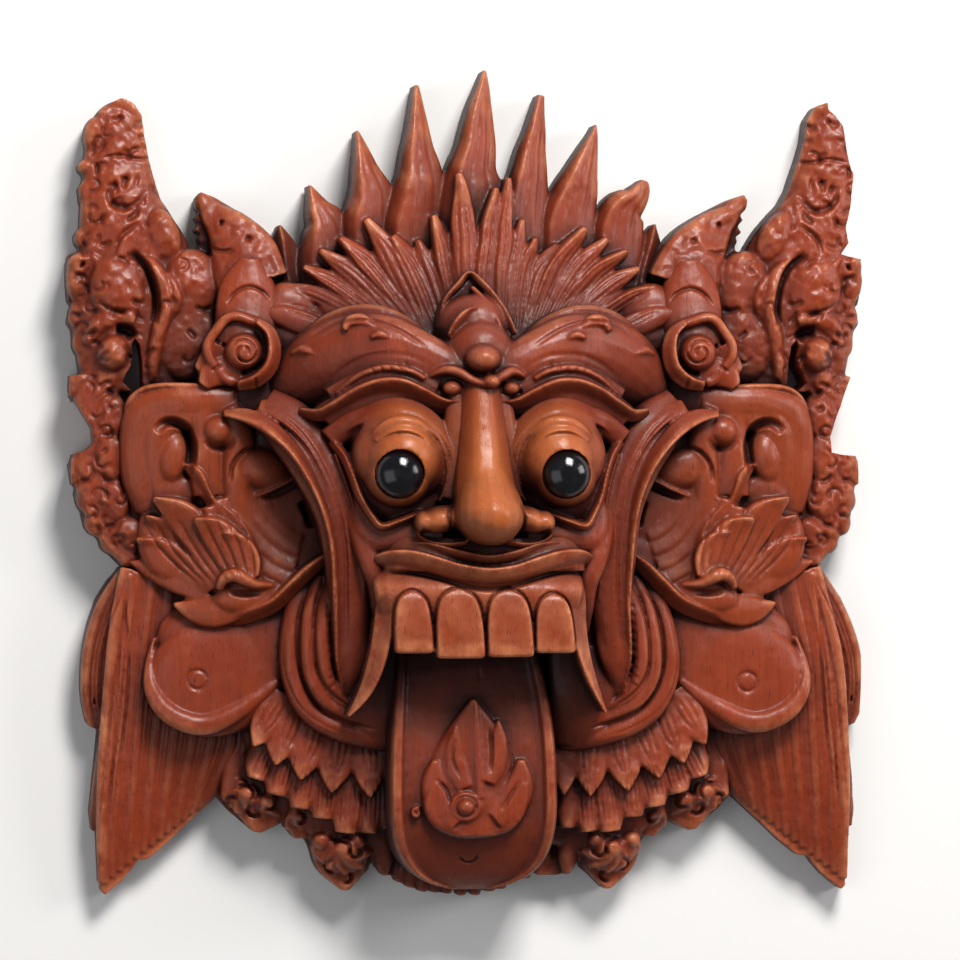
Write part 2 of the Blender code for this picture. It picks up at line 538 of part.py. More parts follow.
def bead_shell(bm, centre, radius, back, front, dome, segments=20, steps=4):
    """A cylinder along Z from back to front, closed by a dome of the given height."""
    rings = [[Vector((centre.x + radius * math.cos(2 * math.pi * k / segments),
                      centre.y + radius * math.sin(2 * math.pi * k / segments), height))
              for k in range(segments)] for height in (back, front)]
    for step in range(1, steps + 1):
        angle = math.pi / 2 * step / steps
        share = max(math.cos(angle), 0.05)
        rings.append([Vector((centre.x + radius * share * math.cos(2 * math.pi * k / segments),
                              centre.y + radius * share * math.sin(2 * math.pi * k / segments),
                              front + dome * math.sin(angle))) for k in range(segments)])
    loft(bm, rings)


def cutters():
    """What is cut out of the fused carving: the space under its back, the hollow and the bores."""
    bm = bmesh.new()
    under = 0.03
    half = max(WIDTH, HEIGHT)
    slab_points = [(-half, -half), (half, -half), (half, half), (-half, half)]
    loft(bm, [[Vector((x, y, -under)) for x, y in slab_points],
              [Vector((x, y, 0)) for x, y in slab_points]])
    below = object_from(bm, "space_under_back")

    bm = bmesh.new()
    centre = place(0, -8, 0)
    rings = []
    steps, segments = 6, 32
    for step in range(steps + 1):
        share = max(math.sin(math.pi / 2 * step / steps), 0.03)
        height = HOLLOW_DEPTH * max(1 - share ** HOLLOW_SQUARENESS, 0.0) ** (1 / HOLLOW_SQUARENESS)
        rings.append((share, height))
    rings.append((1.0, -under / 2))
    loft(bm, [[Vector((centre.x + HOLLOW_WIDTH / 2 * share * math.cos(2 * math.pi * k / segments),
                       centre.y + HOLLOW_HEIGHT / 2 * share * math.sin(2 * math.pi * k / segments),
                       height)) for k in range(segments)] for share, height in rings])
    for side in (-1, 1):
        seat = place(BEAD_PLACE[0] * side, BEAD_PLACE[1], BEAD_PLACE[2])
        bead_shell(bm, seat, BEAD_RADIUS + BEAD_CLEARANCE, seat.z - BEAD_SEAT_DEPTH - BEAD_CLEARANCE,
                   seat.z + under, BEAD_DOME)
    half = bmesh.new()
    for cut in (ear_half_cuts, ear_plate_half_cuts, face_half_cuts):
        cut(half)
    mirrored(half)
    carved = bpy.data.meshes.new("carved_hollows")
    half.to_mesh(carved)
    half.free()
    bm.from_mesh(carved)
    return below, object_from(bm, "bores_and_hollow")


def fused_carving(wood):
    """The forms as one closed solid, thinned to its triangle budget and cut flat at the back."""
    made = object_from(all_forms(), "mask")
    made.data.materials.append(wood)
    fuse = made.modifiers.new("fuse", "REMESH")
    fuse.mode = "VOXEL"
    fuse.voxel_size = FUSE_VOXEL
    fuse.adaptivity = 0.0
    graph = bpy.context.evaluated_depsgraph_get()
    dense = made.evaluated_get(graph).to_mesh()
    dense.calc_loop_triangles()
    thin = made.modifiers.new("thin", "DECIMATE")
    thin.ratio = min(1.0, CARVING_TRIANGLES / len(dense.loop_triangles))
    thin.use_collapse_triangulate = True
    for cutter in cutters():
        cutter.hide_render = True
        cutter.display_type = "WIRE"
        cut = made.modifiers.new(cutter.name, "BOOLEAN")
        cut.operation = "DIFFERENCE"
        cut.solver = "MANIFOLD"
        cut.object = cutter
    return made


def eye_bead(side, name, black):
    """One black bead, seated in the bore of its eye."""
    bm = bmesh.new()
    seat = place(BEAD_PLACE[0] * side, BEAD_PLACE[1], BEAD_PLACE[2])
    bead_shell(bm, seat, BEAD_RADIUS, seat.z - BEAD_SEAT_DEPTH, seat.z, BEAD_DOME)
    made = object_from(bm, name)
    made.data.materials.append(black)
    made.data.shade_smooth()
    return made


def main():
    for old in list(bpy.data.objects):
        bpy.data.objects.remove(old)
    wood = material("stained_wood", (0.22, 0.065, 0.035), 0.42)
    black = material("black_bead", (0.006, 0.006, 0.008), 0.08)
    fused_carving(wood)
    eye_bead(-1, "eye_bead_left", black)
    eye_bead(1, "eye_bead_right", black)


main()
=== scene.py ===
"""A carved wooden barong mask that lies on its back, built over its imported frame.

Run as a script in Blender 4.5. The carving is drawn in millimetres, and each
part of it is fused from closed forms, then engraved and stained.
"""
import json
import math

import bpy
import numpy as np
from mathutils import Matrix, Vector

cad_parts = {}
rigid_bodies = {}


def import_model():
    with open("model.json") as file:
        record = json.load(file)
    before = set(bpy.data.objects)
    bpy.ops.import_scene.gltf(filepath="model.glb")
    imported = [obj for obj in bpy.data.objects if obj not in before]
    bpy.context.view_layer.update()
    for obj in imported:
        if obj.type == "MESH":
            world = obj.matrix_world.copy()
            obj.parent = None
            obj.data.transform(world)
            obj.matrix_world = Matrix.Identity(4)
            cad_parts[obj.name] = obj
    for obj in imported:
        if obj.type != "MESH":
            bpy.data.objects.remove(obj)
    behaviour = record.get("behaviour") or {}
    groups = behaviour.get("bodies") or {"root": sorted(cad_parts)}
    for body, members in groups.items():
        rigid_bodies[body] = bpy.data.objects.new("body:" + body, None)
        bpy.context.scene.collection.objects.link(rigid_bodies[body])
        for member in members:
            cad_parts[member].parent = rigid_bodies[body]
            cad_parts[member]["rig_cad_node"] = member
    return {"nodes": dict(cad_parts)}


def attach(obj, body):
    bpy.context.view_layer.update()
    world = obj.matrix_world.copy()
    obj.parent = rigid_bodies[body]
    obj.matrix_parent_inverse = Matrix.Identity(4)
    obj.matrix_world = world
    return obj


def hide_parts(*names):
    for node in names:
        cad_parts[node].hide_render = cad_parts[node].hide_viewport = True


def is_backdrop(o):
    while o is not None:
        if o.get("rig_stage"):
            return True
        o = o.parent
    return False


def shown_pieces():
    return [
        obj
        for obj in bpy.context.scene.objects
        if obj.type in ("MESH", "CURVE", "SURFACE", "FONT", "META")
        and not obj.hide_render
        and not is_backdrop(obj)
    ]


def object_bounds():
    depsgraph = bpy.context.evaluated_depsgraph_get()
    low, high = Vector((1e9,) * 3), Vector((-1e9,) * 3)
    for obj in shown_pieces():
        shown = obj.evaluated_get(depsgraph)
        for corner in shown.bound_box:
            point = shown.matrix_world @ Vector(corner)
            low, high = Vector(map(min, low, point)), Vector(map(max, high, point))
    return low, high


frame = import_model()
CAD_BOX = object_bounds()

bl_info = {
    "name": "Barong Mask",
    "version": (1, 0, 0),
    "blender": (4, 5, 0),
    "location": "View3D > Sidebar > Mask",
    "description": "Carves, stains and lights a wooden barong mask",
    "category": "Object",
}

# How far the hand-carved centre line wanders to one side: (y, sideways)
CENTRE_LINE = [(-210, 5.0), (-166, 4.2), (-100, 4.2), (-40, 2.0), (10, -0.5), (50, -1.2),
               (100, -0.6), (120, 1.0), (145, 3.6), (170, 4.6), (210, 4.6)]

# Sections across a raised band: (share of half width, share of edge drop)
ROUND = [(-1, 1), (-0.97, 0.75), (-0.88, 0.5), (-0.7, 0.27), (-0.4, 0.08), (0, 0),
         (0.4, 0.08), (0.7, 0.27), (0.88, 0.5), (0.97, 0.75), (1, 1)]
KEEL = [(-1, 1), (-0.5, 0.62), (-0.08, 0.05), (0, 0), (0.08, 0.05), (0.5, 0.62), (1, 1)]
FLAT = [(-1, 1), (-0.97, 0.4), (-0.9, 0.1), (-0.75, 0.0), (0, 0), (0.75, 0.0), (0.9, 0.1),
        (0.97, 0.4), (1, 1)]
RIDGE_LEFT = [(-1, 1), (-0.9, 0.3), (-0.72, 0), (-0.5, 0.08), (0, 0.4), (0.5, 0.75), (1, 1)]
RIDGE_RIGHT = [(-u, v) for u, v in reversed(RIDGE_LEFT)]
FACET = [(-1, 1), (-0.86, 0.5), (-0.62, 0.06), (-0.55, 0.0), (-0.3, 0.05), (0.3, 0.3), (0.75, 0.6),
         (0.92, 0.75), (1, 1)]
SHELL = [(-1, 1), (-0.95, 0.45), (-0.8, 0.22), (-0.4, 0.08), (0, 0), (0.4, 0.08), (0.8, 0.22),
         (0.95, 0.45), (1, 1)]
NOSE = [(-1, 1), (-0.9, 0.62), (-0.62, 0.3), (-0.4, 0.08), (-0.2, 0.0), (0.25, 0.0), (0.45, 0.1),
        (0.66, 0.32), (0.92, 0.66), (1, 1)]
LIP = [(-1, 0.8), (-0.92, 0.15), (-0.8, 0.0), (-0.6, 0.06), (-0.2, 0.2), (0.3, 0.38), (0.7, 0.6),
       (0.92, 0.85), (1, 1)]

# Width along a leaf, from its root to its tip, as shares of its half width
LEAF = (0.6, 0.95, 1.0, 0.72, 0.07)
PLUME = (0.75, 0.92, 1.0, 0.85, 0.25)
BLADE = (1.0, 1.0, 0.92, 0.66, 0.06)


def smooth_rows(rows, per_span):
    """Rows read from a Catmull-Rom curve through the given rows, of any length."""
    rows = np.array(rows, float)
    ends = np.vstack((rows[:1], rows, rows[-1:]))
    t = (np.arange(per_span) / per_span)[:, None]
    found = []
    for before, start, end, after in zip(ends, ends[1:], ends[2:], ends[3:]):
        found.append(0.5 * (2 * start + (end - before) * t
                            + (2 * before - 5 * start + 4 * end - after) * t * t
                            + (3 * start - before - 3 * end + after) * t ** 3))
    found.append(rows[-1:])
    return np.vstack(found)


def wander(y):
    """How far the centre line stands to one side at each height y."""
    heights = np.array([row[0] for row in CENTRE_LINE], float)
    aside = np.array([row[1] for row in CENTRE_LINE], float)
    i = np.clip(np.searchsorted(heights, y, side="right") - 1, 0, len(heights) - 2)
    t = np.clip((y - heights[i]) / (heights[i + 1] - heights[i]), 0, 1)
    return aside[i] + (aside[i + 1] - aside[i]) * t * t * (3 - 2 * t)


class Forms:
    """Closed shells, drawn in millimetres, that one part of the carving is fused from.

    A shell reaches down to the floor that it is given, or else to the floor of its set.
    """

    def __init__(self, floor=0.0):
        self.floor = floor
        self.points = []
        self.faces = []

    def loft(self, rings):
        """Closes a row of equal rings of points into one shell."""
        start, count = len(self.points), len(rings[0])
        for ring in rings:
            self.points.extend(ring)
        for i in range(len(rings) - 1):
            for k in range(count):
                a, b = start + i * count + k, start + i * count + (k + 1) % count
                self.faces.append((a, b, b + count, a + count))
        self.faces.append(tuple(range(start + count - 1, start - 1, -1)))
        last = start + (len(rings) - 1) * count
        self.faces.append(tuple(range(last, last + count)))

    def band(self, rows, section=ROUND, floor=None, per_span=5):
        """A raised band. A row is x, y, crest height, half width, edge drop."""
        floor = self.floor if floor is None else floor
        samples = smooth_rows(rows, per_span)
        runs = np.gradient(samples[:, :2], axis=0)
        runs /= np.maximum(np.linalg.norm(runs, axis=1, keepdims=True), 1e-6)
        rings = []
        for (x, y, z, half, drop), (rx, ry) in zip(samples, runs):
            half = max(half, 0.3)
            low = min(floor, z - drop - 1.5)
            ring = [(x + ry * half * u, y - rx * half * u, z - drop * v) for u, v in section]
            ring += [(x + ry * half, y - rx * half, low), (x - ry * half, y + rx * half, low)]
            rings.append(ring)
        self.loft(rings)

    def leaf(self, root, tip, half, crest, drop, widths=LEAF, section=KEEL, bend=0.0,
             floor=None):
        """A leaf, spike or lock from root to tip. crest gives its height at both ends."""
        root, tip = np.array(root, float), np.array(tip, float)
        along = tip - root
        side = np.array((along[1], -along[0])) / np.linalg.norm(along)
        rows = []
        for i, share in enumerate(widths):
            t = i / (len(widths) - 1)
            x, y = root + along * t + side * bend * 4 * t * (1 - t)
            rows.append((x, y, crest[0] + (crest[1] - crest[0]) * t, half * share,
                         drop * (0.35 + 0.65 * share)))
        self.band(rows, section, floor)

    def boss(self, centre, radii, top, side, power=2.0, turn=0.0, floor=None, segments=40,
             steps=12):
        """A rounded boss whose top is at top and whose wall starts at side."""
        floor = self.floor if floor is None else floor
        turn = math.radians(turn)
        shares = [max(math.sin(math.pi / 2 * step / steps), 0.02) for step in range(steps + 1)]
        heights = [side + (top - side) * max(1 - share ** power,
                                             0.0) ** (1 / power) for share in shares]
        shares.append(1.0)
        heights.append(min(floor, side - 1.0))
        rings = []
        for share, height in zip(shares, heights):
            ring = []
            for k in range(segments):
                a = 2 * math.pi * k / segments
                u, v = radii[0] * share * math.cos(a), radii[1] * share * math.sin(a)
                ring.append((centre[0] + u * math.cos(turn) - v * math.sin(turn),
                             centre[1] + u * math.sin(turn) + v * math.cos(turn), height))
            rings.append(ring)
        self.loft(rings)

    def slab(self, outline, top, floor=None):
        """A flat board with the given outline."""
        floor = self.floor if floor is None else floor
        self.loft([[(x, y, floor) for x, y in outline], [(x, y, top) for x, y in outline]])

    def ring(self, centre, radii, crest, half, drop, section=ROUND, floor=None, lobes=0, swell=0.0,
             start=0.0, sweep=360.0):
        """A band that runs round an ellipse, or part of the way round, with lobes if wanted."""
        count = max(12, round(abs(sweep) / 10))
        rows = []
        for i in range(count + 1):
            a = math.radians(start + sweep * i / count)
            grown = 1 + swell * math.cos(lobes * a)
            rows.append((centre[0] + radii[0] * grown * math.cos(a),
                         centre[1] + radii[1] * grown * math.sin(a), crest, half, drop))
        self.band(rows, section, floor, per_span=2)

    def curl(self, centre, outer, inner, turns, start, crest, half, drop, floor=None):
        """A spiral scroll from outer to inner radius, clockwise if turns is negative."""
        count = max(8, round(abs(turns) * 14))
        rows = []
        for i in range(count + 1):
            t = i / count
            a = math.radians(start) + 2 * math.pi * turns * t
            radius = outer + (inner - outer) * t
            rows.append((centre[0] + radius * math.cos(a), centre[1] + radius * math.sin(a),
                         crest, half * (1 - 0.45 * t), drop))
        self.band(rows, ROUND, floor, per_span=1)

    def mirror(self):
        """Adds a copy of every shell on the mask's other side."""
        start = len(self.points)
        self.points += [(-x, y, z) for x, y, z in self.points]
        self.faces += [tuple(start + i for i in reversed(face)) for face in self.faces]
        return self


def distance_to_path(points, path):
    """How far each point lies from a path, seen from the front, and how far along it."""
    best = np.full(len(points), 1e9)
    along = np.zeros(len(points))
    steps = np.linalg.norm(np.diff(path, axis=0), axis=1)
    travelled = np.concatenate(([0.0], np.cumsum(steps)))
    for i, (start, end) in enumerate(zip(path, path[1:])):
        run = end - start
        size = max(float(run @ run), 1e-9)
        t = np.clip(((points - start) @ run) / size, 0, 1)
        gap = np.linalg.norm(points - start - t[:, None] * run, axis=1)
        nearer = gap < best
        best[nearer] = gap[nearer]
        along[nearer] = (travelled[i] + t * steps[i])[nearer]
    return best, along / max(travelled[-1], 1e-9)


def engrave(points, lines, both_sides=True):
    """Cuts lines into the fused surface. A line is its path, half width, depth and taper."""
    flat = points[:, :2]
    for path, half, depth, taper in lines:
        path = smooth_rows(path, 5)
        for side in ((1, -1) if both_sides else (1,)):
            turned = path * (side, 1)
            low, high = turned.min(0) - half, turned.max(0) + half
            near = np.nonzero(((flat > low) & (flat < high)).all(1) & (points[:, 2] > 6))[0]
            if len(near) == 0:
                continue
            gap, along = distance_to_path(flat[near], turned)
            fade = np.clip(np.minimum(along, 1 - along) / max(taper, 1e-3), 0, 1) ** 0.6
            cut = np.clip(1 - (gap / half) ** 2, 0, 1)
            points[near, 2] -= depth * cut * fade


def lumps(points, cell, seed):
    """Smooth uneven relief between -1 and 1, with features about one cell wide."""
    size = 97
    table = np.random.default_rng(seed).uniform(-1, 1, (size, size))
    spot = points[:, :2] / cell
    whole = np.floor(spot).astype(int)
    part = spot - whole
    part = part * part * (3 - 2 * part)
    rows, columns = whole[:, 1] % size, whole[:, 0] % size
    after_row, after_column = (rows + 1) % size, (columns + 1) % size
    low = table[rows, columns] * (1 - part[:, 0]) + table[rows, after_column] * part[:, 0]
    high = table[after_row, columns] * (1 - part[:, 0]) + table[after_row, after_column] * part[:,
                                                                                                0]
    return low * (1 - part[:, 1]) + high * part[:, 1]


def roughen(points, amount):
    """Leaves the uneven surface of a hand tool, in millimetres, on the front."""
    upper = points[:, 2] > 8
    swell = lumps(points, 7.3, 1) + 0.7 * lumps(points, 3.9, 2) + 0.45 * lumps(points, 2.1, 3)
    points[upper, 2] += amount * swell[upper]


# Crown

# Spikes at the back of the crown, as rows of x, y, height, half width and edge drop
SPIKES = [
    [(-68, 92, 36, 13, 9), (-68.4, 110, 34, 13, 9), (-70, 124, 32, 10, 8), (-74.8, 132, 30, 5.6, 6),
    (-80.3, 143, 27, 0.6, 3)], [(-47, 92, 38, 13, 9), (-49, 124, 36, 13, 9), (-50, 138, 34, 10.8,
    8), (-53.3, 150, 32, 6.6, 7), (-55.7, 160, 29, 3.5, 5), (-58.3, 169.5, 26, 0.6, 3)],
    [(-24, 98, 40, 16, 10), (-27, 120, 39, 16.5, 10), (-27, 140, 37, 13.2, 9),
    (-27, 150, 35, 10.4, 8), (-28.5, 160, 33, 7.8, 7), (-28.8, 170, 31, 5.5, 6),
    (-29, 181, 28, 3.3, 5), (-29.3, 191.5, 25, 1.2, 3)],
    [(2, 98, 42, 16, 10), (-1, 125, 41, 16.5, 10), (-1.8, 140, 39, 15.4, 9), (-2, 150, 37, 12.2, 9),
    (-0.5, 160, 35, 9.8, 8), (0.2, 170, 33, 8, 7), (1.2, 180, 31, 6, 6), (2.8, 190, 28, 3.4, 5),
    (3.8, 199, 25, 0.8, 3)], [(26, 98, 40, 12, 9), (25, 120, 39, 12, 9), (24.7, 138, 36, 11, 9),
    (26, 150, 34, 8.8, 8), (26.7, 160, 32, 7, 7), (28.5, 170, 30, 4.9, 6), (30, 180, 27, 3, 5),
    (31.2, 187, 25, 1.8, 3)], [(46, 92, 38, 14.5, 9), (46, 124, 36, 14.5, 9), (48.4, 138, 34, 11.8,
    8), (51.7, 150, 32, 8, 7), (54.4, 160, 29, 4.9, 5), (56.7, 168, 27, 2.2, 4),
    (57.7, 173, 25, 0.6, 3)], [(70, 92, 36, 14, 9), (70.4, 112, 34, 14, 9), (73, 130, 32, 11.8, 8),
    (78.4, 137, 30, 7.2, 6), (81.2, 142, 28, 4.6, 5), (82.5, 146, 26, 1.8, 3)], ]
# Shorter plumes before them: root, tip, half width, sideways bend
PLUMES = [
    ((-3, 84), (-10, 148), 6.3, 2), ((5, 84), (8, 141), 5.6, 0), ((12, 84), (14, 146), 5.2, 0),
    ((-9, 80), (-20, 128), 5.6, 2), ((-15, 80), (-27, 116), 5.2, 2),
    ((-21, 80), (-39, 118), 6.6, 3), ((-28, 82), (-52, 126), 6.0, 3),
    ((-35, 83), (-64, 117), 5.6, 3), ((-43, 84), (-73, 111), 5.0, 3),
    ((-52, 84), (-80, 103), 4.6, 2), ((-61, 82), (-88, 94), 4.2, 2), ((-70, 77), (-92, 84), 3.8, 1),
    ((18, 82), (23, 126), 5.4, -1), ((23, 80), (30, 117), 5.4, -2), ((28, 82), (41, 114), 6.0, -3),
    ((34, 83), (54, 122), 6.0, -3), ((41, 84), (65, 117), 5.6, -3), ((48, 84), (75, 111), 5.2, -3),
    ((56, 84), (82, 103), 4.8, -2), ((66, 80), (90, 94), 4.2, -2), ((74, 75), (93, 84), 3.8, -1), ]


def crown_forms():
    """Tall faceted spikes at the back of the crown and a fan of shorter plumes before them."""
    forms = Forms(2)
    for rows in SPIKES:
        forms.band(rows, FACET)
    forms.leaf((-84, 86), (-92, 124), 9, (33, 25), 7, BLADE, KEEL)
    forms.leaf((82, 86), (90, 125), 9, (33, 25), 7, BLADE, KEEL)
    forms.leaf((92, 92), (96, 116), 6, (31, 25), 6, BLADE, KEEL)
    forms.leaf((-92, 92), (-97, 116), 6, (31, 25), 6, BLADE, KEEL)
    forms.band([(0, 66, 60, 60, 10), (0, 78, 54, 70, 12), (0, 92, 47, 76, 12), (0, 104, 40, 68, 12),
                (0, 116, 33, 50, 10), (0, 126, 30, 24, 8)], ROUND, floor=8)
    for side in (1, -1):
        forms.boss((side * 88, 76), (17, 20), 43, 34, power=2.6, floor=8)
        forms.leaf((side * 62, 66), (side * 101, 82), 6, (52, 44),
                   5, PLUME, SHELL, side * -2, floor=8)
        forms.leaf((side * 66, 58), (side * 102, 72), 6, (50, 42),
                   5, PLUME, SHELL, side * -2, floor=8)
    for i, (root, tip, half, bend) in enumerate(PLUMES):
        reach = abs(tip[0]) / 95
        crest = (61 - 14 * reach, 45 - 7 * reach + 2.0 * (i % 2))
        low = tuple(r - 0.35 * (t - r) for r, t in zip(root, tip))
        forms.leaf(low, tip, half * 1.08, crest, 6.5, PLUME, FACET if i % 2 else SHELL, bend,
                   floor=10)
    return forms


def crown_lines():
    """Fine cuts along the plumes and up the spikes."""
    lines = []
    for root, tip, half, bend in PLUMES:
        root, tip = np.array(root, float), np.array(tip, float)
        side = np.array((tip[1] - root[1], root[0] - tip[0])) / np.linalg.norm(tip - root)
        for share, depth in ((-0.4, 0.7), (0.2, 0.8), (0.7, 0.5)):
            path = [root - (tip - root) * 0.3 + side * half * share * 0.8,
                    (root + tip) / 2 + side * (half * share + bend * 0.8),
                    root + (tip - root) * 0.86 + side * half * share * 0.5]
            lines.append((path, 0.8, depth, 0.2))
    for rows in SPIKES:
        for share in (-0.1, 0.5):
            path = [(row[0] + row[3] * share, row[1]) for row in rows[1:-1]]
            lines.append((path, 1.1, 0.4, 0.3))
    return lines


# Brow

def brow_forms():
    """The swelling brow pads, their rolled lower edges, the lotus petal and the jewel."""
    forms = Forms(48)
    forms.band([
        (6, 50, 84, 6, 5), (18, 55, 84, 11, 7), (32, 59, 83, 15, 9), (46, 62, 80, 18, 10),
        (60, 60, 74, 19.5, 12), (74, 54, 66, 18, 12), (85, 46, 57, 13, 10), (91, 40, 50, 8, 8)],
        ROUND)
    forms.band([(60, 60, 60, 20, 6), (74, 54, 55, 19, 6), (85, 46, 48, 14, 6), (92, 40, 42, 9, 6)],
               ROUND, floor=16)
    forms.band([
        (9, 37, 86, 1.6, 3), (18, 37.5, 88, 2.8, 5), (28, 42, 89.5, 3.6, 6), (38, 45.5, 90, 4.2, 7),
        (48, 45, 88, 4.4, 7), (58, 41, 84, 4.4, 7), (67, 35.5, 79, 4.0, 7), (75, 32, 73, 3.2, 6),
        (84, 34, 64, 1.8, 4)], RIDGE_LEFT)
    forms.band([(26, 49, 86.5, 1.2, 2.5), (34, 53, 87, 1.5, 2.5), (46, 54, 85, 1.6, 2.5),
                (57, 50, 81, 1.5, 2.5), (67, 42, 76, 1.1, 2.5)], ROUND, floor=50)
    forms.band([
        (22, 68, 73, 1.4, 3), (32, 76, 71, 2.0, 4), (45, 81.5, 69, 2.4, 4), (58, 82, 66, 2.4, 4),
        (70, 78, 61, 2.2, 4), (80, 70, 56, 1.8, 4), (87, 60, 50, 1.4, 4)], ROUND, floor=30)
    forms.band([(49, 73, 77, 1.6, 3), (55, 77, 76.5, 2.8, 3), (61, 76, 75, 2.6, 3),
                (63, 72, 74.5, 1.6, 3)], ROUND, floor=50)
    forms.band([(43, 68.5, 81, 1.0, 2), (47, 70, 81, 1.8, 2), (51, 68.5, 80, 1.0, 2)],
               ROUND, floor=50)
    forms.band([(77, 61, 66, 1.0, 3), (82, 63, 64, 2.2, 3), (87, 61, 59, 1.2, 3)], ROUND, floor=40)
    forms.mirror()
    forms.boss((1, 62), (17, 15), 85, 70, power=2.2)
    forms.boss((0, 74), (19, 16), 76, 60, power=2.2, floor=46)
    forms.boss((0, 40), (15, 18), 86, 74, power=2.6, floor=50)
    forms.leaf((-2, 74), (-2.5, 99), 17, (70, 55), 6, (1.0, 0.95, 0.8, 0.5, 0.05), ROUND, floor=20)
    forms.band([
        (-17, 78, 66, 0.8, 2), (-14, 87, 66, 1.3, 3), (-8, 94, 65, 1.5, 3),
        (-2.5, 99.5, 61, 1.4, 3), (3, 94.5, 66, 1.7, 3), (9, 87, 70, 1.8, 3), (14, 79, 73, 1.7, 3),
        (18, 70, 76, 1.2, 3)], RIDGE_LEFT, floor=40, per_span=6)
    forms.band([(-2, 93, 66, 1.0, 2.5), (4, 86, 71, 1.6, 3), (9, 78, 75, 1.6, 3),
                (12, 70, 78, 1.0, 3)], ROUND, floor=40)
    forms.band([(-14, 69, 79, 1.0, 3), (-10, 75, 80, 2.4, 4), (-5, 80, 78, 2.6, 4),
                (0, 82.5, 75, 1.4, 4)], RIDGE_LEFT, floor=40)
    forms.leaf((2, 66), (1, 86), 6.5, (83, 71), 4, (0.8, 1.0, 0.9, 0.5, 0.05), KEEL, floor=40)
    forms.band([(12, 36, 82, 5, 5), (26, 39, 83, 7, 5), (42, 42, 83, 8, 5), (58, 38, 78, 8, 5),
                (72, 30, 70, 7, 5)], ROUND)
    forms.band([(-12, 36, 82, 5, 5), (-26, 39, 83, 7, 5), (-42, 42, 83, 8, 5), (-58, 38, 78, 8, 5),
                (-72, 30, 70, 7, 5)], ROUND)
    for side in (1, -1):
        forms.band([(side * 20, 44, 84, 4, 4), (side * 32, 49, 84.5, 5, 4),
                    (side * 45, 50, 83, 5, 4),
                    (side * 57, 47, 79, 5, 4), (side * 69, 40, 72, 5, 4)], ROUND, floor=50)
    forms.boss((1.5, 58.5), (8.6, 7.0), 95, 84, power=2.1, floor=60)
    forms.boss((5, 47.5), (4.4, 3.6), 96, 88, floor=60)
    forms.band([
        (-24, 50, 84, 1.2, 3), (-17, 53, 88, 2.2, 4), (-10, 52, 90, 2.4, 4), (-3, 48, 92, 2.0, 4),
        (4, 46.5, 93, 1.8, 3), (10, 50, 91, 2.4, 4), (16, 52.5, 88, 2.4, 4), (22, 50, 85, 1.2, 3)],
        ROUND, floor=60)
    forms.boss((-13, 44.5), (4.6, 3.6), 88.5, 84, floor=60)
    forms.boss((15, 44.5), (4.0, 3.2), 88.5, 84, floor=60)
    return forms


def brow_lines():
    """Short strokes over the brow's rolled edge and cuts under its rim."""
    lines = []
    for i in range(5):
        x = 35 + 4.2 * i
        lines.append(([(x, 57 - 0.4 * i), (x - 2.2, 53 - 0.4 * i)], 0.7, 0.9, 0.4))
    lines.append(([(26, 64), (38, 72), (52, 76.5), (66, 75), (78, 67)], 1.3, 1.0, 0.25))
    lines.append(([(22, 55), (34, 60), (48, 60.5), (60, 56), (70, 48)], 1.6, 0.7, 0.25))
    return lines


# Eyes

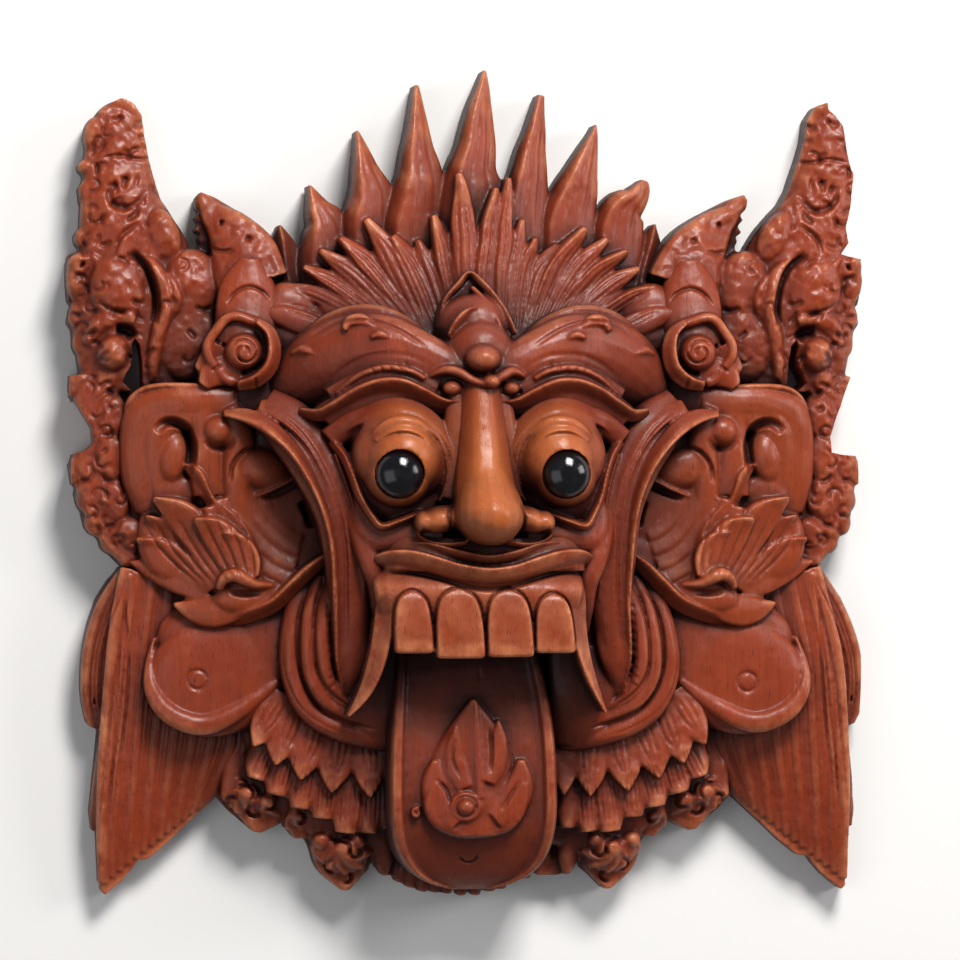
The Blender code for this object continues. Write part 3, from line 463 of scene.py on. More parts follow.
def eye_forms():
    """Bulging eyeballs, folds of lid above them, angular rims below and the outer corners."""
    forms = Forms(46)
    forms.boss((36.5, 11.5), (21.5, 21), 99, 70, power=2.1, segments=64, steps=20)
    forms.boss((39, 3.5), (16.5, 15.5), 98.2, 76, power=2.3, floor=60, segments=64, steps=20)
    forms.boss((38, 3), (23, 24), 81, 68, power=3.0, floor=48, segments=64)
    forms.boss((36.5, 13), (24, 22.5), 92, 74, power=2.5, floor=48, segments=64)
    forms.band([(50, 33, 82, 5, 5), (60, 28, 77, 6, 5), (70, 20, 70, 6, 5)], ROUND)
    forms.band([(11, 42, 85, 5, 5), (11, 30, 87, 6, 5), (12, 16, 88, 6, 5), (12, 4, 88, 6, 5),
                (14, -8, 86, 6, 5)], ROUND)
    forms.band([
        (68, 22, 70, 2.0, 4), (60, 28.5, 79, 3.2, 6), (50, 34, 86, 3.8, 6),
        (39, 36.5, 89.5, 3.8, 6), (29, 34, 90, 3.6, 6), (20, 27, 89.5, 3.2, 5),
        (14, 17, 89, 2.6, 5), (11.5, 5, 88, 2.2, 5), (14, -7, 86, 1.6, 4)], RIDGE_LEFT, floor=50)
    forms.band([
        (58, 18, 81, 1.4, 4), (53, 26, 87, 2.2, 4), (44, 30.5, 92, 2.6, 4), (36, 31.4, 93, 2.6, 4),
        (27, 28.5, 92, 2.3, 4), (19.5, 21.5, 90, 2.0, 4), (15.6, 11, 89, 1.8, 4),
        (16, 0, 87, 1.4, 4), (20, -9, 85, 1.0, 3)], RIDGE_LEFT, floor=50)
    forms.band([
        (20, 17, 86, 0.8, 3), (24, 22.5, 90.5, 2.0, 3), (30, 26.8, 93.4, 3.0, 3),
        (37, 28.4, 94.2, 3.2, 3), (44, 27, 93.4, 3.0, 3), (50, 23, 90.5, 2.0, 3),
        (54, 17, 86, 0.8, 3)], ROUND, floor=60)
    forms.band([(51, 20, 92, 1.0, 3), (43, 25, 95.5, 1.8, 3), (35, 25.5, 96.5, 1.9, 3),
                (27.5, 22, 95.5, 1.6, 3), (22, 15, 92.5, 1.2, 3)], RIDGE_LEFT, floor=50)
    forms.band([
        (69, 20, 71, 2.4, 4), (64, 13, 77, 2.3, 4), (60.5, 4, 81, 2.1, 4), (57.5, -6, 83, 2.0, 4),
        (53, -15, 84.5, 2.0, 4), (48.5, -20.5, 86, 2.0, 4), (41, -18.5, 87, 1.8, 4),
        (33, -15.5, 87.5, 1.5, 4), (28, -13.5, 87, 1.0, 4)], KEEL, floor=50)
    forms.band([(60, 12, 66, 6, 5), (57, -4, 72, 6, 6), (52, -24, 78, 9, 8), (36, -25, 83, 8, 8),
                (20, -24, 87, 6, 6)], ROUND)
    forms.band([(61, -12, 71, 5, 6), (57, -26, 75, 6, 6), (53, -38, 77, 6, 6), (50, -48, 76, 5, 6),
                (49, -60, 71, 4, 6), (49, -72, 62, 2, 4)],
               ROUND)
    return forms.mirror()


# Nose

def nose_forms():
    """The faceted bridge, the bulbous tip and the flared nostrils."""
    forms = Forms()
    forms.band([
        (1, 50, 88.5, 9, 8), (1, 38, 92, 10.6, 10), (1, 24, 96, 12, 12), (1, 12, 100, 13.4, 15),
        (1, 2, 104.5, 14.6, 18), (1, -6, 109, 15.6, 20)], NOSE, floor=46)
    forms.band([
        (1, 22, 95, 5, 8), (1.1, 14, 98.5, 8.4, 12), (1.2, 7, 102.5, 10.6, 15),
        (1.4, 0, 107.5, 13, 19), (1.5, -6.5, 113, 15.4, 22), (1.6, -13, 117, 16.8, 25),
        (1.6, -19, 116.6, 16.2, 26), (1.6, -24, 112.5, 13.4, 24), (1.6, -27.6, 106, 9.4, 19),
        (1.6, -29.6, 98, 5, 12)], ROUND, floor=60, per_span=6)
    nostrils = Forms()
    nostrils.boss((21, -17.5), (10.5, 6.4), 98, 84, power=2.2, turn=-18, floor=60)
    nostrils.boss((28.5, -18.6), (5.2, 5.6), 96.5, 84, power=2.2, floor=60)
    nostrils.band([(9, -28.6, 93.5, 1.2, 3), (15, -29.2, 93, 1.6, 3), (22, -29.6, 91, 1.6, 3),
                   (28.5, -27.6, 89, 1.4, 3), (32.5, -23.6, 88.5, 1.2, 3)], RIDGE_LEFT, floor=60)
    nostrils.mirror()
    start = len(forms.points)
    forms.points += nostrils.points
    forms.faces += [tuple(start + i for i in face) for face in nostrils.faces]
    return forms


def nose_lines():
    """The dark slits of the nostrils and the creases over their wings."""
    return [([(31, -22.5), (25, -25.5), (18, -26.4), (13, -25.6)], 2.2, 6.5, 0.2),
            ([(15.5, -10), (17.5, -15), (17, -21), (14.5, -25)], 1.2, 2.6, 0.2)]


# Mouth

# Teeth: left edge, right edge, top and bottom
TEETH = [(-45.0, -26.6, -51.0, -80.6), (-25.6, -2.6, -50.0, -83.0), (-1.4, 20.6, -50.3, -82.4),
         (21.6, 40.6, -52.4, -80.6)]
# Tusks: rows of x, y, crest height, half width and edge drop
TUSKS = [
    [(-47.5, -46, 80, 4.4, 7), (-47.2, -58, 83, 4.8, 7), (-49.3, -70, 84, 4.6, 7),
    (-52.2, -82, 83, 4.3, 6), (-56.3, -94, 81, 3.6, 6), (-61, -103, 78, 2.4, 5),
    (-66.5, -110.5, 74, 0.7, 3)], [(44.5, -46, 80, 4.4, 7), (43.6, -60, 83, 4.6, 7), (43.8, -72, 84,
    4.2, 7), (45.5, -82, 83, 3.6, 6), (48.5, -92, 81, 2.8, 5), (52.3, -101, 79, 1.8, 4),
    (56.5, -109.5, 76, 0.7, 3)], ]


def mouth_forms():
    """The rolled upper lip, the gum, four broad teeth and the curved tusks beside them."""
    forms = Forms()
    forms.band([
        (-52, -37, 79, 2.6, 6), (-46, -36, 86, 4.0, 8), (-37, -36, 91, 4.6, 9),
        (-27, -38.2, 94, 4.5, 9), (-14, -42, 97, 4.2, 9), (0, -44, 98.5, 4.2, 9),
        (13, -42.6, 97, 4.2, 9), (26, -38.8, 94, 4.5, 9), (37, -36, 91, 4.6, 9),
        (46, -35.6, 86, 4.0, 8), (51, -37, 79, 2.6, 6)], LIP, floor=50)
    forms.band([
        (-38, -29.2, 84, 1.2, 4), (-28, -30, 89, 2.0, 5), (-15, -33.6, 93, 2.4, 5),
        (0, -36.6, 95, 2.6, 6), (14, -34.2, 93, 2.4, 5), (27, -30, 89, 2.0, 5),
        (38, -29, 84, 1.2, 4)], LIP, floor=60)
    forms.band([(0, -26, 88, 42, 10), (0, -34, 90, 47, 12), (0, -42, 89, 48, 12)], ROUND, floor=46)
    forms.band([
        (-3, -38, 80, 44, 12), (-3, -43, 85.5, 49, 12), (-3, -50, 90.6, 50, 12),
        (-3, -58, 90, 48.5, 12), (-3, -68, 87, 45.5, 12), (-3, -76, 81, 42, 10)], ROUND, floor=46)
    for left, right, top, bottom in TEETH:
        x, half = (left + right) / 2, (right - left) / 2
        crest = 92.0 - 0.0022 * (x + 2) ** 2
        forms.band([
            (x, top, crest - 3.0, half * 0.14, 2), (x, top - 0.9, crest - 1.6, half * 0.42, 2.6),
            (x, top - 3.2, crest - 0.5, half * 0.66, 3), (x, top - 7, crest, half * 0.84, 3),
            (x, top - 12, crest + 0.4, half * 0.94, 3), (x, top - 19, crest + 0.5, half, 3),
            (x, bottom + 6, crest + 0.3, half * 1.02, 3), (x, bottom + 1.6, crest, half, 3),
            (x, bottom + 0.4, crest - 0.8, half * 0.93, 3),
            (x, bottom, crest - 2.0, half * 0.82, 3)], FLAT, floor=50, per_span=4)
    for rows in TUSKS:
        forms.band(rows, RIDGE_RIGHT if rows[0][0] > 0 else RIDGE_LEFT, floor=44)
    return forms


def mouth_lines():
    """The dark outlines of the teeth and the crease under the lip."""
    lines = []
    for left, right, top, bottom in TEETH:
        x, half = (left + right) / 2, (right - left) / 2 + 0.3
        shares = ((1.0, 20), (0.93, 11), (0.78, 5.4), (0.5, 1.6), (0.0, -0.6))
        arch = [(x - half * share, top - down) for share, down in shares]
        arch += [(x + half * share, top - down) for share, down in reversed(shares[:-1])]
        lines.append(([(left - 0.2, bottom + 2)] + arch + [(right + 0.2, bottom + 2)],
                      0.8, 1.7, 0.05))
    lines.append(([(-48, -42), (-36, -42.5), (-24, -45), (-12, -48.6), (0, -50.4), (12, -49),
                   (24, -45.4),
                   (36, -42.4), (47, -41.6)], 1.5, 2.2, 0.12))
    return lines


# Tongue

def tongue_forms():
    """The long hanging tongue with its raised edge and the flame carved on it."""
    forms = Forms(50)
    forms.band([
        (-8.5, -78, 58, 34, 7), (-7, -98, 61, 37, 7), (-6, -120, 64, 39.5, 8),
        (-5.6, -145, 65, 40.5, 8), (-5.2, -163, 63, 40, 8), (-5, -176, 58, 37, 8),
        (-5, -186, 52, 30, 8), (-5, -192, 46, 20, 7), (-5, -195, 41, 9, 5)],
        [(-1, 1), (-0.985, 0.4), (-0.95, 0.05), (-0.9, 0), (-0.86, 0.06), (-0.82, 0.34),
        (-0.76, 0.42), (-0.4, 0.47), (0, 0.5), (0.4, 0.47), (0.76, 0.42), (0.82, 0.34),
        (0.86, 0.06), (0.9, 0), (0.95, 0.05), (0.985, 0.4), (1, 1)], floor=8, per_span=8)
    forms.leaf((-5.5, -168), (-6, -103), 22.5, (65.6, 65), 5, (0.5, 1.0, 0.98, 0.6, 0.05), ROUND)
    forms.leaf((-3, -150), (-5, -104), 9, (67.5, 66), 4, (0.7, 1.0, 1.0, 0.7, 0.05), KEEL)
    forms.leaf((0, -142), (6, -113), 7, (67.5, 65), 4, (0.7, 1.0, 0.9, 0.6, 0.05), ROUND, bend=2)
    forms.leaf((-10, -145), (-14.5, -116), 7, (67, 65), 4, (0.7, 1.0, 0.9, 0.6, 0.05),
               ROUND, bend=-2)
    forms.leaf((4, -160), (17, -132), 8.5, (67, 65), 4, (0.7, 1.0, 1.0, 0.75, 0.2), ROUND, bend=4)
    forms.leaf((-14, -162), (-24, -132), 8, (67, 65), 4, (0.7, 1.0, 1.0, 0.75, 0.2), ROUND, bend=-4)
    forms.band([
        (-23, -142, 66, 2.5, 3), (-27, -152, 66.5, 3.4, 4), (-23, -161, 66, 3.4, 4),
        (-12, -166, 65, 3.0, 4), (0, -166.5, 64, 2.6, 4), (11, -163, 65, 3.0, 4),
        (17, -154, 66, 3.2, 4), (18, -143, 66, 2.5, 3)], ROUND)
    forms.boss((-4, -152), (16, 12), 66, 62)
    forms.ring((-10, -154), (6.6, 6.0), 67.5, 1.4, 3, floor=55)
    forms.boss((-10, -154), (4.6, 4.2), 70.5, 66, floor=55)
    forms.curl((-33, -157), 2.6, 0.8, 1.0, 60, 64.2, 1.0, 2)
    return forms


def tongue_lines():
    """The leaf's midrib, veins on its side leaves and the half ring near the end."""
    half_ring = [(-7 + 4.3 * math.cos(math.radians(a)), -177 + 4.3 * math.sin(math.radians(a)))
                 for a in range(190, 361, 24)]
    return [
        ([(2, -117), (2.6, -126), (2, -138)], 1.3, 1.8, 0.2),
        ([(-15, -122), (-16, -132), (-12, -141)], 1.1, 1.3, 0.3),
        ([(11, -124), (13, -134), (9, -143)], 1.1, 1.3, 0.3),
        ([(-24, -141), (-19, -146), (-17, -153)], 1.2, 1.5, 0.3),
        ([(16, -142), (12, -148), (7, -156)], 1.1, 1.3, 0.3), (half_ring, 1.0, 1.6, 0.1),
        ([(-2, -88), (-2.5, -95)], 0.8, 0.8, 0.3)]


# Cheeks

def cheek_forms():
    """The strap from the temple to the mouth with its bright rim, and the loops round the jaw."""
    forms = Forms(8)
    forms.band([
        (100, 38, 54, 9, 6), (87, 26, 63, 13, 7), (76, 8, 69, 12, 7), (67, -14, 71, 11, 7),
        (63, -40, 68.5, 11, 7), (62, -66, 64, 9, 7), (63, -88, 59, 6, 6), (65, -101, 52, 2, 4)],
        ROUND, floor=42)
    forms.band([
        (104, 40, 44, 10, 6), (90, 27, 46, 13, 7), (78, 8, 46, 12, 8), (70, -14, 46, 10, 8),
        (66, -40, 46, 12, 8), (66, -66, 46, 14, 8), (64, -92, 44, 14, 8), (54, -112, 40, 14, 8)],
        ROUND, floor=12)
    forms.band([
        (119, 33, 55, 1.6, 3), (108, 31.5, 62, 3.6, 5), (98, 26, 69, 3.8, 6), (88, 16, 74, 3.2, 7),
        (80, 3.5, 76, 2.9, 7), (74, -11, 76, 2.8, 7), (70.5, -28, 74, 2.8, 7),
        (69, -48, 70, 2.8, 6), (69, -68, 65, 2.6, 5), (69, -86, 60, 2.2, 4),
        (66.5, -101, 54, 1.2, 3)], RIDGE_LEFT, floor=30)
    forms.band([
        (102, 37, 58, 3.0, 4), (90, 31, 64, 4.2, 5), (78, 20, 69, 4.6, 5), (69, 3, 72, 4.4, 5),
        (63.5, -14, 72, 4.2, 5), (61, -34, 70, 4.0, 5), (60.5, -56, 66, 3.4, 4),
        (61, -76, 61, 2.4, 4), (63, -92, 56, 1.2, 3)], RIDGE_LEFT, floor=42)
    forms.band([(67, 14, 71, 1.6, 3), (61, -2, 73, 2.4, 4), (57, -20, 73, 2.6, 4),
                (55.5, -40, 70, 2.4, 4),
                (55, -56, 65, 1.6, 3)], RIDGE_LEFT, floor=42)
    forms.band([(61, -44, 62, 7, 5), (62, -62, 62, 8, 5), (62.5, -80, 61, 8, 5),
                (64, -93, 57, 4.6, 5),
                (65, -103, 50, 0.6, 3)], SHELL, floor=20)
    forms.band([
        (78, -40, 45, 4, 6), (86, -56, 48, 5.0, 6), (90, -74, 50, 5.8, 7), (90, -92, 50, 5.8, 7),
        (83, -108, 50, 5.8, 7), (69, -117.5, 50, 5.6, 7), (52, -123, 47, 5.0, 7),
        (38, -126, 42, 4.4, 6)], ROUND)
    forms.band([
        (75, -44, 51, 2.4, 4), (80.5, -58, 54, 3.4, 4), (83, -76, 55.5, 3.6, 4),
        (82, -92, 55.5, 3.6, 4), (75, -104.5, 54.5, 3.4, 4), (64, -111, 52, 3.2, 4),
        (50, -116, 48, 2.6, 4)], ROUND)
    forms.band([(71, -48, 55, 2.4, 4), (75, -62, 58, 3.4, 4), (76.6, -78, 59, 3.6, 4),
                (75, -92, 58, 3.4, 4), (69.5, -102, 55, 2.8, 4), (61, -107.5, 52, 2.0, 4)],
               ROUND)
    forms.band([(48, -78, 55, 16, 4), (48, -96, 55, 16, 4), (47, -112, 52, 15, 5),
                (46, -126, 45, 12, 6)],
               ROUND)
    forms.band([(62, -52, 54, 16, 8), (62, -80, 54, 17, 9), (58, -104, 48, 15, 9),
                (48, -116, 42, 12, 8)],
               ROUND)
    return forms.mirror()


def cheek_lines():
    """Incised lines that follow the strap and the loops."""
    notches = [([(70.6, -58 - 4.2 * i), (74.4, -60 - 4.2 * i)], 1.1, 0.6, 0.3) for i in range(10)]
    return notches + [
        ([(96, 34), (84, 24), (74, 8), (67.5, -10), (65, -32), (65, -56), (65.5, -78)], 1.3, 1.4,
        0.15), ([(80, -50), (87, -66), (87.5, -88), (80, -104.5), (66, -113), (50, -118)], 1.2, 1.6,
        0.1), ([(77, -52), (80, -68), (79.6, -88), (73, -100), (62, -108)], 1.1, 1.3, 0.1),
        ([(70.4, -52), (71.6, -68), (71.8, -84), (69, -96)], 1.1, 1.6, 0.15),
        ([(94, -70), (94.5, -90), (87, -107), (73, -117), (55, -122.5)], 0.8, 0.5, 0.2)]


# Ears

def ear_forms():
    """The smooth cupped ear, the pod in its recess, the bowl behind the strap and its leaves."""
    forms = Forms(10)
    forms.slab([
        (60, -38), (66, 30), (100, 46), (150, 46.5), (157, 45), (163, 39), (165.5, 26), (166, 8),
        (163, -18), (156, -36), (146, -50), (122, -62), (102, -58), (80, -42)], 30, floor=6)
    forms.band([
        (112, 38, 47, 9, 5), (126, 38, 48.5, 9, 6), (142, 37.5, 47, 9, 7), (154, 32, 43, 11, 8),
        (157, 18, 41, 11, 8), (156, 2, 40, 11, 8), (152, -12, 38, 10, 8)], ROUND)
    forms.band([(118, 30, 47, 9, 6), (133, 32, 47, 8, 6), (146, 30, 45, 9, 7), (150, 14, 43, 9, 7),
                (148, -2, 41, 9, 7)], ROUND)
    forms.band([(127, 36, 48, 8, 5), (126, 22, 48, 8, 5), (127, 8, 48, 8, 5), (126, -6, 47, 8, 5)],
               ROUND)
    forms.band([
        (124, 46, 47, 1.0, 2), (138, 46.3, 46, 1.3, 3), (150, 46, 44, 1.3, 3),
        (158, 43.5, 41, 1.3, 3), (163.5, 37, 38, 1.3, 3), (165, 25, 36, 1.3, 3),
        (165, 10, 35, 1.2, 3)], ROUND)
    forms.boss((143, 12), (8.6, 14), 45.5, 36, power=2.1, turn=8)
    forms.boss((142, -4), (14, 10), 42, 34, power=2.4)
    forms.band([
        (137.5, 8, 46, 1.2, 3), (134.5, 6.5, 49, 2.6, 4), (131, 2.5, 50.5, 3.0, 5),
        (128, -5, 50, 2.8, 5), (122, -16, 49, 2.6, 5), (114, -28, 49, 2.2, 4)], RIDGE_RIGHT,
        floor=20)
    forms.boss((121, 25), (7.6, 7.0), 52.6, 46, floor=20)
    forms.band([(116, 36, 50, 5, 6), (111, 22, 52, 7, 6), (113, 6, 50, 7, 6), (112, -10, 48, 7, 6),
                (105, -28, 46, 7, 6), (98, -44, 45, 5, 6)], ROUND)
    forms.boss((101, 7), (15.5, 11), 51.5, 41, power=2.2, turn=14)
    forms.boss((94, 20), (14, 12), 47, 40, power=2.4)
    forms.band([(106, -5.5, 46, 2.4, 5), (99, -2.5, 49, 3.2, 6), (90, 2, 50.5, 3.2, 7),
                (80, 6.5, 50, 2.4, 6)], RIDGE_LEFT)
    forms.boss((103, 42), (16, 11), 46, 38, power=2.6)
    for i in range(6):
        radius = 15 + 6.6 * i
        forms.ring((79, -1), (radius, radius * 1.12), 45 + 0.9 * i, 4.6, 3, FACET,
                   start=4 - 3 * i, sweep=-84 + 4 * i)
    forms.boss((84, -12), (24, 26), 45, 36, power=3.2)
    forms.boss((78, -36), (16, 13), 46, 38, power=2.6, turn=-35)
    for i in range(5):
        t = i / 4
        forms.band([(128 - 12 * t, -3 - 1 * t, 46 - 2 * t, 2.4, 4),
                    (121 - 12 * t, -18 - 1.5 * t, 47 - 2 * t, 3.2, 4),
                    (112 - 10 * t, -33 - 1 * t, 47 - 2 * t, 3.0, 4),
                    (104 - 8 * t, -45 + 2 * t, 46 - 2 * t, 2.2, 4)], RIDGE_RIGHT)
    forms.boss((136, -26), (26, 25), 39.5, 31, power=3.2, turn=-30)
    forms.boss((110, -40), (22, 17), 41, 34, power=3.0, turn=-30)
    forms.leaf((121, -48), (153, -7.5), 9.0, (49, 47.5), 5, (0.5, 0.9, 1.0, 0.85, 0.1), RIDGE_LEFT,
               bend=-6)
    forms.leaf((113, -47), (134.5, -17.5), 8.8, (53, 52), 5, (0.5, 0.9, 1.0, 0.85, 0.1), RIDGE_LEFT,
               bend=-5)
    forms.leaf((108, -45), (122, -24), 5.8, (54, 53), 4, (0.5, 0.9, 1.0, 0.8, 0.1), RIDGE_LEFT,
               bend=-4)
    forms.leaf((124, -50), (157, -16), 7, (46, 42), 5, (0.5, 0.9, 1.0, 0.8, 0.1), RIDGE_LEFT,
               bend=-4, floor=8)
    forms.leaf((106, -50), (126, -8), 6, (50, 49), 5, (0.5, 0.9, 1.0, 0.8, 0.1), RIDGE_LEFT,
               bend=-4, floor=8)
    forms.leaf((128, -52), (162, -27), 7, (45, 39), 5, (0.5, 0.9, 1.0, 0.8, 0.1), RIDGE_LEFT,
               bend=-3, floor=8)
    forms.leaf((130, -55), (165, -38), 6.5, (42, 32), 5, (0.5, 0.9, 1.0, 0.8, 0.1), SHELL, bend=-2,
               floor=5)
    forms.leaf((112, -57), (145, -58), 8, (48, 41), 5, (0.7, 0.9, 1.0, 0.7, 0.1), SHELL,
               bend=4, floor=8)
    forms.boss((108, -54), (19, 9), 49.5, 42, power=2.6, turn=-8)
    forms.band([
        (124, -51, 50, 1.8, 3), (121.5, -46, 54, 2.8, 4), (117, -44, 56, 3.2, 4),
        (112, -46, 56, 3.0, 4), (106, -48.5, 54, 2.4, 4), (98, -49, 50, 1.6, 3)], ROUND, floor=20)
    forms.band([
        (65, -30, 66, 1.6, 4), (72, -35, 62, 2.6, 5), (81, -42, 58.5, 3.4, 6),
        (89, -50, 55, 3.8, 7), (97, -57.5, 52, 4.0, 7), (106, -62, 50, 3.8, 7),
        (115, -65, 47, 3.2, 6), (123.5, -66.5, 43, 1.6, 4)], RIDGE_LEFT, floor=8)
    return forms.mirror()


def ear_lines():
    """The arched cut above the inner dome, the recess round the pod and flowing lines."""
    lines = [
        ([(116, 0), (115, 8), (110, 14.5), (103, 17)], 1.3, 2.4, 0.25),
        ([(151, 24), (147, 28), (142, 28.6), (136.6, 25.5), (134, 18), (134.6, 9), (137, 2)], 2.8,
        6.0, 0.3), ([(128, 20), (123.5, 16.5), (117.5, 16.5), (113.5, 21)], 1.6, 2.2, 0.3),
        ([(119, -52), (112, -53), (104, -52.4)], 2.0, 2.6, 0.3),
        ([(102, -8), (92, -4.5), (82, 0.5), (76, 2.5)], 2.0, 2.0, 0.25),
        ([(80.5, -8), (78, -14), (76.5, -21)], 4.6, 14.0, 0.3)]
    for i in range(9):
        lines.append(([(158 - 5.5 * i, -20 + 0.6 * i), (149 - 5 * i, -34 + 0.4 * i),
                       (134 - 3.4 * i, -48 + 0.2 * i)], 1.0, 1.0, 0.3))
    return lines


# Plates beside the ears

# Outlines of the left plate's front, from the top of the horn round to the foot
PLATE_OUTLINE = [
    (-178, 178), (-176, 182), (-171, 184.5), (-165.5, 182), (-161.5, 176), (-160, 165),
    (-157.5, 155), (-153.5, 142), (-149.5, 133), (-145, 125), (-139, 115), (-133, 107), (-131, 106),
    (-126, 92), (-120, 60), (-120, 40), (-128, 20), (-140, -10), (-146, -44), (-164, -45),
    (-168, -41), (-176, -33), (-181, -24), (-186, -19), (-187, -11), (-189.5, -6), (-188, -2),
    (-190.5, 1), (-191.5, 9), (-186, 12), (-183.5, 17), (-187, 21), (-184.5, 25), (-187, 30),
    (-188.5, 36), (-190.5, 44), (-190.5, 48), (-182, 51), (-182, 54), (-186, 61), (-189, 68),
    (-189.5, 73), (-192, 77), (-191, 81), (-189.5, 84), (-191.8, 87), (-192.6, 96), (-192.8, 104),
    (-192.2, 109), (-187, 110.5), (-186.5, 114), (-189.5, 118.5), (-187, 124), (-187, 129),
    (-189.5, 135), (-191, 141), (-187.5, 145.5), (-188.5, 148.5), (-192, 151.5), (-187, 156),
    (-188.5, 162), (-189, 168), (-187, 173), (-182, 174.5), (-182, 178), (-179, 178)]
LEAF_OUTLINE = [
    (-132, 139.5), (-125, 137), (-114, 131), (-105, 124), (-97, 118), (-92, 112), (-84, 96),
    (-86, 60), (-118, 60), (-126, 90), (-131, 106), (-131.5, 110), (-129.5, 114), (-131, 117),
    (-129.5, 119), (-133, 121), (-130.5, 124), (-133, 127), (-131, 129.5), (-133.5, 132),
    (-134, 136.5)]
HOLE = [(-160, 69), (-157.3, 66), (-156, 58), (-155.6, 48), (-155, 45), (-157, 42.5), (-160, 42.5),
        (-163, 45.5), (-165.5, 48), (-164, 52), (-161.5, 56), (-160.8, 61), (-161.6, 66)]


# Bays in the outer edges, where the right plate and the left differ
BAYS = {-1: [
    [(-200, 36), (-187.5, 39), (-183, 31), (-180, 26), (-179.5, 19), (-183, 15.5), (-200, 10)]],
    1: [[(200, 57), (188.5, 53), (184.5, 44), (179, 30), (176, 22), (176.4, 14.6), (182, 13.4),
    (200, 12)], [(200, 195), (171, 190), (171.6, 181), (175, 178), (178.5, 173), (180.5, 162),
    (182, 155), (184.4, 149.5), (184, 133), (182.8, 123), (184.4, 116), (181, 110.6), (189, 108.6),
    (200, 108)]], }


def plate_forms(side):
    """One tall plate: its horn, worn lobes, square leaves, scrolls and the knob by the hole."""
    forms = Forms(4)
    forms.slab(PLATE_OUTLINE, 22.5, floor=0.6)
    forms.slab(LEAF_OUTLINE, 22, floor=0.6)
    forms.band([
        (-171, 182, 21, 4, 3), (-172.5, 175, 24, 11, 5), (-174, 162, 26, 14, 6),
        (-173, 148, 28, 16, 7), (-171, 134, 30, 18, 8), (-166, 120, 32, 23, 9),
        (-161, 104, 33, 28, 10), (-159, 84, 33, 31, 10), (-157, 62, 33, 30, 10),
        (-156, 44, 31, 28, 10)], ROUND)
    forms.band([(-178, 52, 30, 10, 7), (-177, 34, 32, 12, 8), (-177, 14, 32, 13, 8),
                (-176, -6, 32, 12, 8),
                (-170, -22, 31, 11, 8), (-160, -36, 30, 9, 7)], SHELL)
    for x, y, across, along, top in [
            (-184, 166, 5.5, 9, 26), (-187, 151, 4.6, 4, 25), (-186, 140, 4.5, 6, 26),
            (-184, 129, 4, 6, 27), (-186, 117, 4.5, 5, 27), (-187, 98, 6, 12, 29.5),
            (-186, 80, 5.4, 7, 28), (-184, 67, 5.4, 7, 28), (-180, 57, 5, 6, 28),
            (-182, 30, 5.6, 9, 30), (-180, 16, 5, 6, 30), (-184, -8, 5, 7, 29), (-180, -19, 6, 7,
                                                                                 29),
            (-172, -29, 7, 6, 29), (-164, -36, 7, 6, 30), (-164, -24, 7, 8, 34), (-171, -8, 8, 11,
                                                                                  34),
            (-172, 12, 8, 12, 35), (-171, 32, 8, 11, 35), (-173, 50, 6, 6, 33)]:
        forms.boss((x, y), (across, along), top, top - 6, power=2.6, segments=24, steps=8)
    forms.boss((-185, 104), (7.5, 6.5), 31, 25, power=2.3)
    forms.band([(-181, 109, 31, 1.6, 3), (-177, 103, 33.5, 2.8, 4), (-174.5, 95, 34.5, 2.8, 4),
                (-177, 89, 32, 1.6, 3)], ROUND, floor=10)
    forms.boss((-170, 62), (8.2, 9), 40, 29)
    forms.band([(-182, 66, 31, 3, 4), (-177, 75, 34.5, 5, 5), (-168, 80, 36, 5, 5),
                (-160, 78, 36, 4, 5)],
               ROUND)
    forms.band([
        (-156, 108, 33, 2, 3), (-150, 101, 37, 3.6, 4), (-146.5, 92, 39, 4.2, 5),
        (-146, 82, 39, 4.2, 5), (-149, 70, 38, 4, 5), (-151, 58, 36, 3.6, 5),
        (-151, 48, 33, 2.6, 4)], ROUND)
    forms.band([(-145, 100, 36, 1.4, 3), (-141.6, 93, 38.5, 2.6, 4), (-140, 86, 38.5, 2.4, 4),
                (-142, 79, 36, 1.4, 3)], ROUND)
    forms.boss((-168, 92), (14, 18), 37.5, 28, power=2.2, turn=14)
    forms.boss((-134, 92), (15, 20), 36, 27, power=2.4)
    forms.boss((-134, 68), (16, 20), 36.5, 29, power=2.4)
    forms.boss((-148, 118), (8, 14), 34, 27, power=2.4, turn=24)
    forms.band([(-132, 138, 23, 1.6, 3), (-126, 130, 27, 5.5, 5), (-117, 121, 32, 11, 7),
                (-109, 109, 37, 16, 8), (-104, 95, 41, 18, 9)], SHELL)
    forms.leaf((-174, 46), (-190.5, 46), 5.5, (32, 28), 4, (1, 1, 1, 1, 0.95), SHELL)
    forms.leaf((-174, 5), (-190.5, 5), 6.5, (33, 29), 4, (1, 1, 1, 1, 0.95), SHELL)
    if side > 0:
        forms.points = [(-x, y, z) for x, y, z in forms.points]
        forms.faces = [tuple(reversed(face)) for face in forms.faces]
    return forms


